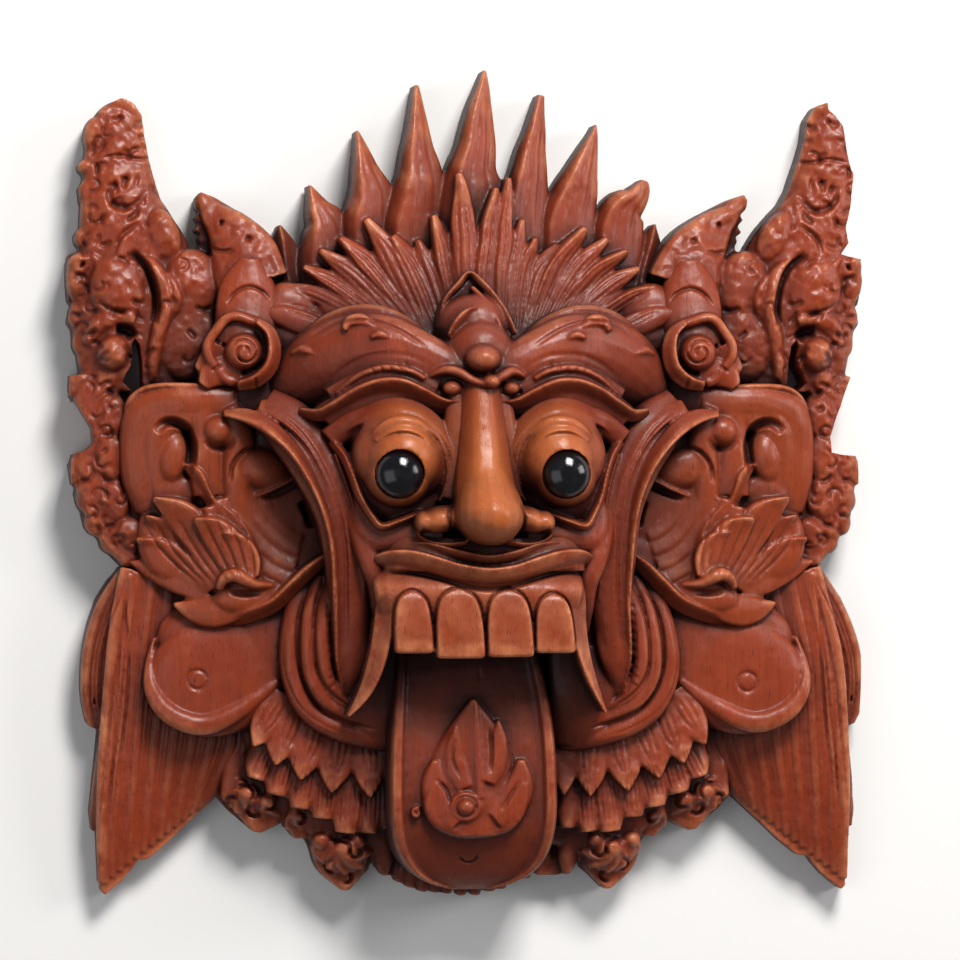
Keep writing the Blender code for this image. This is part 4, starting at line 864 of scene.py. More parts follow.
def plate_lines():
    """Scroll cuts of the plates, for a positive x and mirrored."""
    lines = [
        ([(165, 108.5), (160, 107.5), (154.5, 102), (151, 93), (149.8, 83), (151, 76)], 2.1, 5.0,
        0.16), ([(157, 155), (164, 155), (172, 156.5), (181, 155)], 1.2, 1.6, 0.2),
        ([(166, 172), (161, 171)], 2.6, 1.6, 0.3), ([(172.5, 176), (171, 174)], 1.8, 1.6, 0.2),
        ([(158, 140), (163, 133), (170, 131), (176, 137), (173, 144)], 2.0, 2.2, 0.2),
        ([(186, 104.4), (185, 103.6)], 2.0, 3.6, 0.01),
        ([(169, 73), (163.5, 72.5), (160.5, 69)], 3.2, 7.0, 0.2),
        ([(132, 84), (127, 82.5), (123, 84)], 1.6, 1.8, 0.3),
        ([(121.5, 124.5), (119.5, 124)], 1.8, 2.6, 0.05), ([(109, 117), (106, 116)], 1.8, 2.2, 0.2),
        ([(125, 112), (120, 110.5), (114, 111)], 1.3, 1.6, 0.3),
        ([(109, 104.5), (101, 103)], 1.5, 2.0, 0.3), ([(135, 73), (131, 69)], 1.6, 2.2, 0.2),
        ([(160, 124), (168, 118), (171, 110)], 1.6, 2.2, 0.3),
        ([(178, 86), (170, 82), (162, 82)], 1.4, 1.8, 0.3)]
    for x, y, size, turn in [(183, 162, 3.4, 30), (178, 168, 2.6, 200), (184, 142, 2.8, 80),
                             (180, 150, 2.6, 300), (181, 127, 3.0, 160), (175, 140, 2.6, 20),
                             (184, 116, 2.6, 250), (186, 92, 3.2, 60), (181, 84, 2.8, 190),
                             (185, 74, 2.6, 320), (178, 94, 2.4, 110), (183, 45, 3.4, 20),
                             (178, 34, 3.0, 140), (182, 24, 2.6, 260), (174, 24, 3.0, 10),
                             (184, 5, 3.6, 90), (176, 10, 2.8, 200), (178, -6, 3.0, 330),
                             (182, -14, 2.6, 60), (174, -18, 3.0, 170), (170, -28, 2.8, 280),
                             (163, -32, 2.8, 40), (168, -8, 2.6, 120), (170, 38, 2.6, 230),
                             (146, 84, 2.4, 300), (138, 104, 2.6, 60), (134, 60, 2.6, 150)]:
        arc = [(x + size * math.cos(math.radians(turn + a)),
                y + size * math.sin(math.radians(turn + a)))
               for a in range(0, 241, 40)]
        lines.append((arc, 1.0, 1.3, 0.25))
    rng = np.random.default_rng(7)
    for x, y, turn, size in zip(rng.uniform(150, 188, 90), rng.uniform(-30, 184, 90),
                                rng.uniform(0, 6.28, 90),
                                rng.uniform(1.2, 4.2, 90)):
        step = np.array((math.cos(turn), math.sin(turn))) * size
        bend = np.array((-step[1], step[0])) * 0.4
        middle = np.array((x, y))
        lines.append(([middle - step, middle + bend, middle + step],
                      0.9 + 0.2 * size, 0.5 + 0.3 * size, 0.3))
    return lines


# Flowers at the temples

def flower_forms():
    """A cupped flower with a rosette bud, its petals, and the domed cap over it."""
    forms = Forms(15)
    forms.leaf((108, 66), (106, 107), 14.5, (50, 40), 6, (0.95, 1.0, 1.0, 0.85, 0.35), ROUND)
    forms.ring((111, 63.5), (14.6, 15.2), 51.4, 2.4, 5, SHELL, lobes=5, swell=0.05)
    forms.boss((110.5, 63.5), (13, 13), 46, 43)
    forms.band([
        (103, 77, 54, 1.6, 3), (97, 72, 57, 2.6, 4), (94.8, 64, 59, 3.4, 5), (96.5, 55, 60, 3.6, 5),
        (103, 48.5, 59, 3.4, 5), (112, 46, 56, 2.4, 4)], RIDGE_LEFT, floor=25)
    forms.leaf((110, 52), (128, 46), 7, (51, 50), 5, (0.6, 1.0, 1.0, 0.9, 0.4), SHELL, bend=-4)
    forms.leaf((122, 66), (131, 54), 5, (50, 47), 4, (0.6, 1.0, 1.0, 0.9, 0.4), SHELL, bend=2)
    forms.boss((109, 62), (9.2, 8.8), 58, 48, power=2.4, floor=25)
    return forms.mirror()


def flower_lines():
    """The arch under the cap, the petals wound round the bud and the cuts between petals."""
    lines = [
        ([(117, 85), (113, 90.5), (106.5, 93.3), (100, 91), (96.5, 87)], 1.1, 1.8, 0.2),
        ([(124, 53), (120, 56)], 1.0, 1.6, 0.3), ([(113, 44), (112, 50)], 1.0, 1.2, 0.3),
        ([(103, 44), (104, 50)], 1.0, 1.2, 0.3)]
    for start, radius in ((30, 6.6), (170, 6.0), (280, 4.4), (80, 2.4)):
        arc = [(109 + radius * (1 - 0.0022 * a) * math.cos(math.radians(start + a)),
                62 + radius * (1 - 0.0022 * a) * math.sin(math.radians(start + a)))
               for a in range(0, 151, 25)]
        lines.append((arc, 0.9, 1.5, 0.2))
    return lines


# Pendants under the ears

def pendant_forms():
    """The plain rounded pendants under the ears, a little dished inside a soft rim."""
    forms = Forms()
    forms.boss((125, -92), (35, 29), 41, 31, power=3.6, turn=-20, floor=10, segments=64, steps=16)
    forms.boss((99, -76), (20, 22), 40.5, 31, power=2.8, floor=10)
    forms.boss((120, -72), (34, 20), 38.5, 30, power=2.8, turn=-6, floor=10)
    forms.band([
        (155, -74, 33, 0.8, 2), (158, -86, 37, 2.0, 3), (157.4, -98, 40.6, 3.6, 3.4),
        (151.5, -108, 42.6, 4.6, 4), (142, -114, 43.4, 5.0, 4), (131, -115.4, 43.4, 5.0, 4),
        (119, -110.6, 43, 4.8, 4), (107.5, -103, 41.8, 3.8, 3.4), (97, -95, 40.4, 2.0, 3)], ROUND,
        floor=20, per_span=7)
    return forms.mirror()


def pendant_lines():
    """The ring mark on each pendant."""
    lines = []
    for centre in ((-135.5, -94), (129.5, -96)):
        ring = [(centre[0] + 4.6 * math.cos(2 * math.pi * i / 16),
                 centre[1] + 4.6 * math.sin(2 * math.pi * i / 16)) for i in range(17)]
        lines.append((ring, 0.9, 1.2, 0.001))
    return lines


# Wings of hair

# Edges of the left wing, from the ear down and round
WING_LOBES = [
    [(-170, -42), (-175, -47), (-181, -56), (-186, -69), (-189, -85), (-190, -100), (-188.5, -112),
    (-186, -117), (-181, -119), (-178, -119), (-176, -100), (-172, -60), (-166, -44)],
    [(-172, -60), (-180, -100), (-182, -119), (-184, -140), (-186, -158), (-185, -167),
    (-176, -168.5), (-172, -150), (-168, -110), (-164, -60)], ]
WING_BODY = [
    (-166, -42), (-171, -60), (-176, -100), (-178, -140), (-177, -168), (-181, -190),
    (-181.2, -196), (-179, -198), (-170, -190.5), (-165, -184.5), (-163, -181.5), (-158, -181),
    (-150, -174.5), (-140, -165), (-127, -153), (-116, -140), (-108, -122), (-104, -100),
    (-130, -60), (-146, -42)]


def wing_strands():
    """Lines of hair that run down the wings, as x, y paths with the height at their ends."""
    paths = []
    for i in range(15):
        t = i / 14
        top = (-166 + 56 * t, -41 - 40 * t + 22 * t * (1 - t))
        middle = (-176 + 62 * t, -106 - 22 * t)
        low = (-180 + 53 * t, -196 + 45 * t)
        paths.append((top, middle, low, 31 - 3 * t))
    return paths


def wing_forms():
    """Three layers of hair that fan down and outward behind the pendants."""
    forms = Forms()
    forms.slab(WING_LOBES[0], 17, floor=0.6)
    forms.slab(WING_LOBES[1], 15, floor=0.6)
    forms.slab(WING_BODY, 15, floor=0.6)
    for shift, top in ((0.0, 23), (4.0, 25), (8.0, 26)):
        forms.band([(-168 + shift * 0.6, -42, top + 4, 2.2, 3),
                    (-178.5 + shift, -60, top + 1, 3.2, 3.6),
                    (-185 + shift, -80, top - 1, 3.6, 4), (-186.8 + shift, -100, top - 3, 3.5, 4),
                    (-184.8 + shift, -115.5, top - 6, 2.6, 4)], ROUND, floor=2)
    for shift, top in ((0.0, 25), (4.0, 27), (8.0, 28)):
        forms.band([(-165, -44, top + 4, 2.2, 3), (-173 + shift, -80, top + 2, 3.4, 3.6),
                    (-177.6 + shift, -118, top, 3.6, 4), (-181.6 + shift * 0.9, -148, top - 5, 3.4,
                                                          4),
                    (-182.4 + shift * 0.8, -165.5, top - 9, 2.4, 4)], ROUND, floor=2)
    for i, (top, middle, low, height) in enumerate(wing_strands()):
        lift = (0.0, 0.7, 0.2, 1.0)[i % 4]
        forms.band([(*top, height + lift, 3.4, 1.8), ((top[0] + middle[0]) / 2 - 1.5,
                                                      (top[1] + middle[1]) / 2,
                    height + lift, 4.4, 2), (*middle, height - 2 + lift, 4.6, 2.2),
                    ((middle[0] + low[0]) / 2 - 0.6, (middle[1] + low[1]) / 2, height - 7 + lift,
                     4.2, 2.2),
                    (low[0] * 0.96 + middle[0] * 0.04, low[1] * 0.96 + middle[1] * 0.04, 16.5, 2.4,
                     2)],
                   ROUND, floor=2)
    return forms.mirror()


def wing_lines():
    """Fine hair grooves between and along the strands."""
    lines = []
    strands = wing_strands()
    for i, (top, middle, low, _) in enumerate(strands):
        for share, depth in ((0.0, 0.5), (0.5, 1.0)):
            if i == len(strands) - 1 and share:
                continue
            after = strands[min(i + 1, len(strands) - 1)]
            path = [tuple(a + (b - a) * share for a, b in zip(start, end))
                    for start, end in zip((top, middle, low), after[:3])]
            quarter = ((path[0][0] + path[1][0]) / 2 - 1.5, (path[0][1] + path[1][1]) / 2)
            low = (path[1][0] * 0.16 + path[2][0] * 0.84, path[1][1] * 0.16 + path[2][1] * 0.84)
            lines.append(([path[0], quarter, path[1], low], 1.2, depth, 0.25))
    for shift in (1.6, 3.6, 6.2):
        lines.append(([(-170 + shift * 0.6, -46), (-180.5 + shift, -64), (-186.4 + shift, -84),
                       (-187.6 + shift, -102), (-185.6 + shift, -114)], 0.8, 1.1, 0.15))
    for shift in (2.0, 6.0, 8.6):
        lines.append(([(-168, -56), (-176.5 + shift, -96), (-181 + shift, -134),
                       (-183.6 + shift, -160)],
                      0.9, 1.1, 0.15))
    lines.append(([(-184.2, -105), (-183.6, -105)], 1.4, 4.0, 0.01))
    return [([(-x, y) for x, y in path], half, depth, taper) for path, half, depth, taper in lines]


# Beard

def beard_forms():
    """Rows of pointed leaves, plump tufts and curled clusters that hang from the jaw."""
    forms = Forms(2)
    forms.slab([
        (36, -100), (108, -104), (118, -124), (126, -150), (119, -158), (112, -164), (107, -168),
        (102, -165), (96, -162), (88, -168), (82, -172), (79, -178), (74, -184), (71, -192),
        (65, -196), (58, -192), (52, -187), (50, -181), (45, -188), (40, -190), (30, -190)], 16,
        floor=0.6)
    forms.boss((70, -124), (46, 28), 37, 24, power=2.8, turn=16)
    forms.boss((64, -150), (42, 24), 29, 20, power=2.6, turn=20)
    for root, tip, half in [((94, -100), (109, -126), 8.5), ((91, -106), (98.5, -135), 9.0),
                            ((80, -112), (86.5, -142), 9.6), ((67, -116), (71.5, -148), 9.6),
                            ((54, -118), (53, -150.5), 9), ((42, -120), (40, -150), 7)]:
        forms.leaf(root, tip, half, (40, 43.5), 5, (0.7, 1.05, 1.0, 0.72, 0.06), SHELL, floor=8)
    for root, tip, half in [((101, -122), (107, -142), 7.4), ((92, -128), (97.5, -149.5), 7.8),
                            ((82, -132), (86, -156), 7.8), ((72, -134), (75, -161), 7.8),
                            ((61, -136), (64, -168), 8.2), ((51, -138), (53, -168), 7),
                            ((43, -138), (43, -166), 6)]:
        forms.leaf(root, tip, half, (36, 37), 6, (1.0, 1.0, 1.0, 0.95, 0.6), ROUND, floor=6)
    forms.leaf((117, -120), (121, -152), 6.5, (26, 25), 5, (0.7, 1.0, 1.0, 0.9, 0.4), ROUND, bend=3)
    forms.leaf((100, -140), (106, -168), 14, (28, 22), 5, (0.9, 1.0, 1.0, 0.8, 0.15), ROUND)
    for x, y, top, size, turns in [(111, -149, 31.5, 10, (200, 250, 300, 345, 40)),
                                   (101, -153, 31, 9, (230, 280, 330)),
                                   (87, -158, 31, 9, (200, 250, 300)), (75, -172, 30, 9, (190, 240,
                                                                                          290)),
                                   (64, -176, 33, 12, (190, 230, 270, 310, 350)),
                                   (58, -172, 31.5, 9, (250, 300, 350))]:
        forms.boss((x, y), (size * 0.5, size * 0.45), top, top - 5, power=2.2, segments=24)
        for turn in turns:
            a = math.radians(turn)
            forms.leaf((x, y), (x + size * 1.15 * math.cos(a), y + size * 1.05 * math.sin(a)),
                       size * 0.5,
                       (top - 0.5, top - 7), 4, (0.7, 1.0, 1.05, 0.8, 0.1), RIDGE_LEFT, bend=1)
    forms.leaf((86, -150), (84, -171), 8, (28, 22), 5, (1.0, 1.0, 1.0, 0.85, 0.45), ROUND)
    forms.leaf((66, -156), (63.5, -196.5), 15, (30, 20), 5, (0.9, 1.0, 1.0, 0.8, 0.12), ROUND)
    forms.leaf((46, -166), (44, -189.5), 5.6, (28, 20), 5, (1.0, 1.0, 1.0, 0.8, 0.25), ROUND)
    forms.mirror()
    for x, y in [(-41, -189), (-35, -193), (-30, -195.5), (-24, -197.5), (-18, -198), (-12, -198.6),
                 (-5, -199.6), (2, -199.4), (9, -197.6), (15, -196.6), (21, -193.4), (27, -191.5),
                 (32, -188.5), (38, -185.6)]:
        forms.leaf((x * 0.86 - 0.5, y + 22), (x - 4.2 + 2, y), 3.6, (23, 16),
                   4, (1.0, 1.0, 1.0, 0.95, 0.6),
                   ROUND, floor=0.6)
    return forms


def beard_lines():
    """Cuts along the leaves and tufts, and the pits of the clusters."""
    lines = []
    for root, tip in [((96, -104), (107, -122)), ((88, -110), (96, -131)), ((78, -116),
                                                                            (85.5, -138)),
                      ((66, -120), (70.5, -143)), ((53, -122), (52, -146))]:
        run = np.subtract(tip, root)
        side = np.array((run[1], -run[0])) / np.linalg.norm(run)
        for share in (-3.0, 0.2, 3.2):
            lines.append(([root + side * share, root + run * 0.5 + side * share,
                           root + run * 0.85 + side * share * 0.4], 0.8, 0.8, 0.3))
    for root, tip in [((100, -128), (106, -141)), ((92, -132), (96.5, -147)), ((82, -136),
                                                                               (85.5, -152)),
                      ((73, -140), (75, -158)), ((62, -142), (64, -163)), ((52, -142),
                                                                           (53.5, -164))]:
        run = np.subtract(tip, root)
        side = np.array((run[1], -run[0])) / np.linalg.norm(run)
        for share in (-3.6, -1.2, 1.2, 3.4):
            lines.append(([root + side * share * 0.7, root + run * 0.5 + side * share,
                           root + run + side * share], 0.8, 1.1, 0.25))
    for x, y, size, turn in [(112, -149, 4.0, 30), (107, -157, 3.2, 200), (86, -161, 3.0, 60),
                             (66, -176, 4.2, 20), (59, -177, 3.0, 170), (70, -184, 3.0, 240),
                             (63, -190, 2.6, 90), (118, -153, 2.4, 300), (100, -154, 2.6, 120)]:
        arc = [(x + size * math.cos(math.radians(turn + a)),
                y + size * math.sin(math.radians(turn + a)))
               for a in range(0, 221, 36)]
        lines.append((arc, 1.2, 2.6, 0.2))
    return lines


# Block behind the carving

def block_forms():
    """The block behind the face and the boards that the carving stands on."""
    forms = Forms()
    forms.boss((0, 8), (90, 106), 56, 12, power=2.6, floor=0.6, segments=64)
    forms.boss((0, 2), (56, 58), 70, 40, power=3.2, floor=0.6)
    forms.boss((0, -50), (46, 30), 74, 40, power=3.4, floor=0.6)
    forms.slab([(-102, 62), (-92, 100), (-60, 120), (-38, 133), (-12, 142), (12, 142), (38, 133),
                (60, 120), (92, 100), (102, 62)], 14, floor=0.4)
    forms.slab([(-110, -50), (-120, -130), (-94, -154), (-70, -174), (-34, -182), (34, -182),
                (70, -174), (94, -154), (120, -130), (110, -50)], 13, floor=0.4)
    forms.boss((0, -112), (84, 62), 33, 13, power=2.4, floor=0.4)
    return forms


# Fusing, engraving and seating

# Where the black beads are seated, and the bore each stands in
BEAD_PLACES = ((-39.5, 4.0), (39.5, 4.0))
BEAD_BORE = 11.75
BEAD_SEAT = 84.6
# The hollow in the back, as half width, half height, depth and squareness, and its middle
HOLLOW = (56.0, 78.0, 42.0, 3.4)
HOLLOW_MIDDLE = -8.0
# The deepest that a front piece may reach over that hollow
HOLLOW_ROOF = 2.5

# The highest carved surface over the whole mask, on a square grid, filled as pieces are fused
GRID_STEP = 0.8
GRID_HALF = 216.0
relief = np.zeros((540, 540))


def cells(points):
    """The grid row and column that each point stands over."""
    found = np.clip(((points[:, :2] + GRID_HALF) / GRID_STEP).astype(int), 0, len(relief) - 1)
    return found[:, 1], found[:, 0]


def only(made):
    """Makes one object the selected and active one."""
    bpy.ops.object.select_all(action="DESELECT")
    made.select_set(True)
    bpy.context.view_layer.objects.active = made


def modify(made, kind, **settings):
    """Adds one modifier with these settings and applies it."""
    added = made.modifiers.new(kind.lower(), kind)
    for key, value in settings.items():
        setattr(added, key, value)
    only(made)
    bpy.ops.object.modifier_apply(modifier=added.name)


def object_from(name, forms, scale=1.0):
    """An object that holds the shells as they are drawn."""
    mesh = bpy.data.meshes.new(name)
    mesh.from_pydata([tuple(c * scale for c in point) for point in forms.points], [], forms.faces)
    made = bpy.data.objects.new(name, mesh)
    bpy.context.scene.collection.objects.link(made)
    only(made)
    bpy.ops.object.mode_set(mode="EDIT")
    bpy.ops.mesh.select_all(action="SELECT")
    bpy.ops.mesh.normals_make_consistent(inside=False)
    bpy.ops.object.mode_set(mode="OBJECT")
    return made


def read_points(made):
    """An object's vertices as rows of x, y, z."""
    points = np.empty(len(made.data.vertices) * 3)
    made.data.vertices.foreach_get("co", points)
    return points.reshape(-1, 3)


def write_points(made, points):
    """Moves an object's vertices to these rows of x, y, z."""
    made.data.vertices.foreach_set("co", points.ravel())
    made.data.update()


def over_hollow(points):
    """Lifts the underside of a front piece clear of the hollow in the back."""
    half_width, half_height, depth, squareness = HOLLOW
    share = np.hypot((points[:, 0] - wander(HOLLOW_MIDDLE)) / half_width,
                     (points[:, 1] - HOLLOW_MIDDLE) / half_height)
    roof = depth * np.clip(1 - np.clip(share, 0, 1) ** squareness, 0, 1) ** (1 / squareness)
    roof = np.where(share < 1.05, roof + HOLLOW_ROOF, 0)
    points[:, 2] = np.maximum(points[:, 2], roof)


def cut_away(made, forms, solver="MANIFOLD"):
    """Cuts the shells, drawn in millimetres, out of a finished piece."""
    cutter = object_from("cutter", forms, 0.001)
    modify(made, "BOOLEAN", operation="DIFFERENCE", solver=solver, object=cutter)
    bpy.data.meshes.remove(cutter.data)


# Share of each smoothing step, before and after the engraving
FUSED_SMOOTH, CUT_SMOOTH = 0.5, 0.4
# Millimetres under which the block's underside is laid flat
FLAT_BACK = 1.4
# Millimetres that the carving keeps inside the box of the solid
INSET = 0.05
MM = 0.001


def carve(name, forms, lines=(), most=60000, voxel=0.8, both_sides=True, front=True, cuts=None,
          smooth=2, rough=0.15):
    """Fuses shells into one closed piece, engraves it, thins it and hands it to the frame."""
    made = object_from(name, forms)
    modify(made, "REMESH", mode="VOXEL", voxel_size=voxel * bpy.context.scene.mask_sizes.coarseness,
           adaptivity=0.0)
    modify(made, "SMOOTH", factor=FUSED_SMOOTH, iterations=smooth)
    points = read_points(made)
    if front:
        roughen(points, rough)
    engrave(points, lines, both_sides)
    write_points(made, points)
    modify(made, "SMOOTH", factor=CUT_SMOOTH, iterations=1)
    points = read_points(made)
    points[:, 0] += wander(points[:, 1])
    if front:
        over_hollow(points)
    else:
        points[points[:, 2] < FLAT_BACK, 2] = 0.0
    low, high = (np.array(corner) * 1000 for corner in CAD_BOX)
    points = np.clip(points, low + (INSET, INSET, 0.0), high - INSET)
    np.maximum.at(relief, cells(points), points[:, 2])
    write_points(made, points * MM)
    count = sum(len(face.vertices) - 2 for face in made.data.polygons)
    if count > most:
        modify(made, "DECIMATE", ratio=most / count)
    if cuts:
        cut_away(made, cuts)
    only(made)
    bpy.ops.object.shade_smooth()
    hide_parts("mask")
    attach(made, "root")
    return made


def bead_bores():
    """What is bored out of the eyeballs so that the beads stand clear of the wood."""
    cuts = Forms()
    for x, y in BEAD_PLACES:
        ring = [(x + wander(y) + BEAD_BORE * math.cos(2 * math.pi * k / 64),
                 y + BEAD_BORE * math.sin(2 * math.pi * k / 64)) for k in range(64)]
        cuts.loft([[(u, v, BEAD_SEAT) for u, v in ring], [(u, v, 130.0) for u, v in ring]])
    return cuts


def plate_cuts(side):
    """The open hole beside the knob of one plate, and the bays in its outer edge."""
    cuts = Forms()
    for outline in [[(x * -side, y) for x, y in HOLE]] + BAYS[side]:
        cuts.slab([(x + wander(y), y) for x, y in outline], 80.0, floor=-10.0)
    return cuts


def back_hollow():
    """The hollow in the back of the block."""
    half_width, half_height, depth, squareness = HOLLOW
    cuts = Forms()
    cuts.boss((float(wander(HOLLOW_MIDDLE)), HOLLOW_MIDDLE), (half_width, half_height), depth, 0,
              power=squareness, floor=-10, segments=64, steps=14)
    return cuts


# Stain and rubbing, with painted shade and painted highlight

# How far, in millimetres, a point looks for higher carving, and in how many directions
LOOK = (1.6, 2.6, 4.0, 6.0, 9.0, 13.0, 19.0, 28.0, 40.0)
DIRECTIONS = 16
# Cells on each side that the mean height round a point is taken over
NEAR_CELLS, WIDE_CELLS = 3, 9


def spread(heights, reach):
    """The grid blurred over that many squares each way."""
    for axis in (0, 1):
        heights = sum(np.roll(heights, step, axis) for step in range(-reach, reach + 1))
        heights = heights / (2 * reach + 1)
    return heights


def closed_relief():
    """The relief grid with its unfilled squares taken from their neighbours."""
    heights = relief
    for axis in (0, 1):
        heights = np.maximum.reduce([np.roll(heights, step, axis) for step in (-1, 0, 1)])
    return np.where(relief > 0, relief, heights)


def sky_share(points, heights):
    """How much of the sky each point sees past the carving round it, from 0 to 1."""
    seen = np.zeros(len(points))
    for k in range(DIRECTIONS):
        a = 2 * math.pi * (k + 0.5) / DIRECTIONS
        steepest = np.zeros(len(points))
        for distance in LOOK:
            rows, columns = cells(points[:, :2] + distance * np.array((math.cos(a), math.sin(a))))
            np.maximum(steepest, (heights[rows, columns] - points[:, 2] - 0.3) / distance,
                       out=steepest)
        seen += 1 - steepest / np.sqrt(1 + steepest ** 2)
    return seen / DIRECTIONS


def neighbour_mean(made, values):
    """Each vertex's values averaged with those of the vertices it is joined to."""
    ends = np.empty(len(made.data.edges) * 2, dtype=int)
    made.data.edges.foreach_get("vertices", ends)
    ends = ends.reshape(-1, 2)
    total = values.copy()
    count = np.ones(len(values))
    for a, b in ((0, 1), (1, 0)):
        np.add.at(total, ends[:, a], values[ends[:, b]])
        np.add.at(count, ends[:, a], 1)
    return (total.T / count).T


def attribute(made, name, values):
    """Keeps one number for each vertex, for the material's stain, painted shade and painted
    highlight to read.
    """
    kept = made.data.attributes.new(name, "FLOAT", "POINT")
    kept.data.foreach_set("value", np.ascontiguousarray(values, dtype=np.float32))


# How golden a piece is, from what height, how much more rubbed tint with painted highlight it
# takes, and how much more darkly stained it is
TINTS = {"nose": (0.62, 84, 0.05, 0.0), "eyes": (0.6, 80, 0.0, 0.0), "mouth": (0.05, 60, 0.42, 0.0),
         "tongue": (0.0, 0, 0.0, 0.16), "brow": (0.0, 0, 0.0, 0.07), "ears": (0.07, 20, 0.04, 0.0),
         "wings": (0.0, 0, 0.28, 0.0), "beard": (0.0, 0, 0.2, 0.0), "crown": (0.0, 0, 0.08, 0.0),
         "plate_left": (0.0, 0, 0.1, 0.05), "plate_right": (0.0, 0, 0.1, 0.05)}


# Millimetres over which the gold and each sign of rubbing with painted highlight come in full, and
# how much each sign counts
NEAR_RISE, WIDE_RISE, GOLD_RISE = 1.6, 5.0, 16
BULGE_GAIN = 9
RUBBING_AND_SHEEN_SHARES = (0.3, 0.4, 0.4)
# Slant from which a face counts as the underside, and the painted shade it has there
FACES_DOWN, UNDERSIDE_PAINTED_SHADE = -0.3, 0.15


def mark_stain_shade_and_sheen(made, heights, near, wide):
    """Marks the gold, the painted shade with some darker stain in the recesses and on the
    undersides, and the rubbed edges with their painted highlight.
    """
    points = read_points(made) * 1000
    normals = np.empty(len(points) * 3)
    made.data.vertices.foreach_get("normal", normals)
    normals = normals.reshape(-1, 3)
    # Painted shade, with some stain: the less sky a point sees past the carving round it, the
    # darker it is painted, and undersides get a fixed painted shade.
    recess = 1 - sky_share(points, heights)
    recess = np.where(normals[:, 2] < FACES_DOWN, UNDERSIDE_PAINTED_SHADE, recess)
    rows, columns = cells(points)
    # Painted highlight, with rubbing: points that stand proud of the carving round them or bulge
    # outward are lightened.
    proud = (points[:, 2] - near[rows, columns]) / NEAR_RISE
    raised = (points[:, 2] - wide[rows, columns]) / WIDE_RISE
    bulge = np.einsum("ij,ij->i", points - neighbour_mean(made, points), normals)
    bulge = neighbour_mean(made, neighbour_mean(made, np.clip(bulge * BULGE_GAIN, -1, 1)))
    shares = zip(RUBBING_AND_SHEEN_SHARES, (proud, raised, bulge))
    rubbing_and_sheen = sum(share * np.clip(part, 0, 1) for share, part in shares)
    gold, low, rubbed_and_sheen, dark = TINTS.get(made.name, (0.0, 0, 0.0, 0.0))
    attribute(made, "gold", gold * np.clip((points[:, 2] - low) / GOLD_RISE, 0, 1))
    attribute(made, "recess", neighbour_mean(made, recess) + dark)
    attribute(made, "rubbing_and_sheen", np.clip(neighbour_mean(made, rubbing_and_sheen) + rubbed_and_sheen, 0, 1))


# Materials

def node(tree, kind, **settings):
    """Adds one node with these settings; a socket is set by its name with underscores."""
    made = tree.nodes.new(kind)
    for key, value in settings.items():
        socket = made.inputs.get(key.replace("_", " ").title())
        if socket is not None and not hasattr(made, key):
            socket.default_value = value
        else:
            setattr(made, key, value)
    return made


def shaped(tree, source, low, high, least=0.0, most=1.0):
    """A value mapped from one range to another and held there."""
    made = node(tree, "ShaderNodeMapRange")
    for index, value in ((1, low), (2, high), (3, least), (4, most)):
        made.inputs[index].default_value = value
    tree.links.new(source, made.inputs[0])
    return made.outputs[0]


def worked(tree, operation, first, second):
    """Two values combined. Either may be a plain number."""
    made = node(tree, "ShaderNodeMath", operation=operation)
    for index, value in ((0, first), (1, second)):
        if isinstance(value, (int, float)):
            made.inputs[index].default_value = value
        else:
            tree.links.new(value, made.inputs[index])
    return made.outputs[0]


def blended(tree, factor, first, second, kind="MIX"):
    """Two colours mixed. Either may be a plain colour, and factor a plain number."""
    made = node(tree, "ShaderNodeMix", data_type="RGBA", blend_type=kind)
    for index, value in ((0, factor), (6, first), (7, second)):
        if hasattr(value, "is_linked"):
            tree.links.new(value, made.inputs[index])
        elif index == 0:
            made.inputs[index].default_value = value
        else:
            made.inputs[index].default_value = (*value, 1.0)
    return made.outputs[2]


def noise(tree, stretch, detail=3.0, roughness=0.55, distortion=0.0):
    """Noise over the piece, with this many features a metre along each axis."""
    place = node(tree, "ShaderNodeTexCoord")
    moved = node(tree, "ShaderNodeMapping")
    moved.inputs["Scale"].default_value = stretch
    made = node(tree, "ShaderNodeTexNoise")
    made.inputs["Scale"].default_value = 1.0
    made.inputs["Detail"].default_value = detail
    made.inputs["Roughness"].default_value = roughness
    made.inputs["Distortion"].default_value = distortion
    tree.links.new(place.outputs["Object"], moved.inputs["Vector"])
    tree.links.new(moved.outputs["Vector"], made.inputs["Vector"])
    return made.outputs["Fac"]


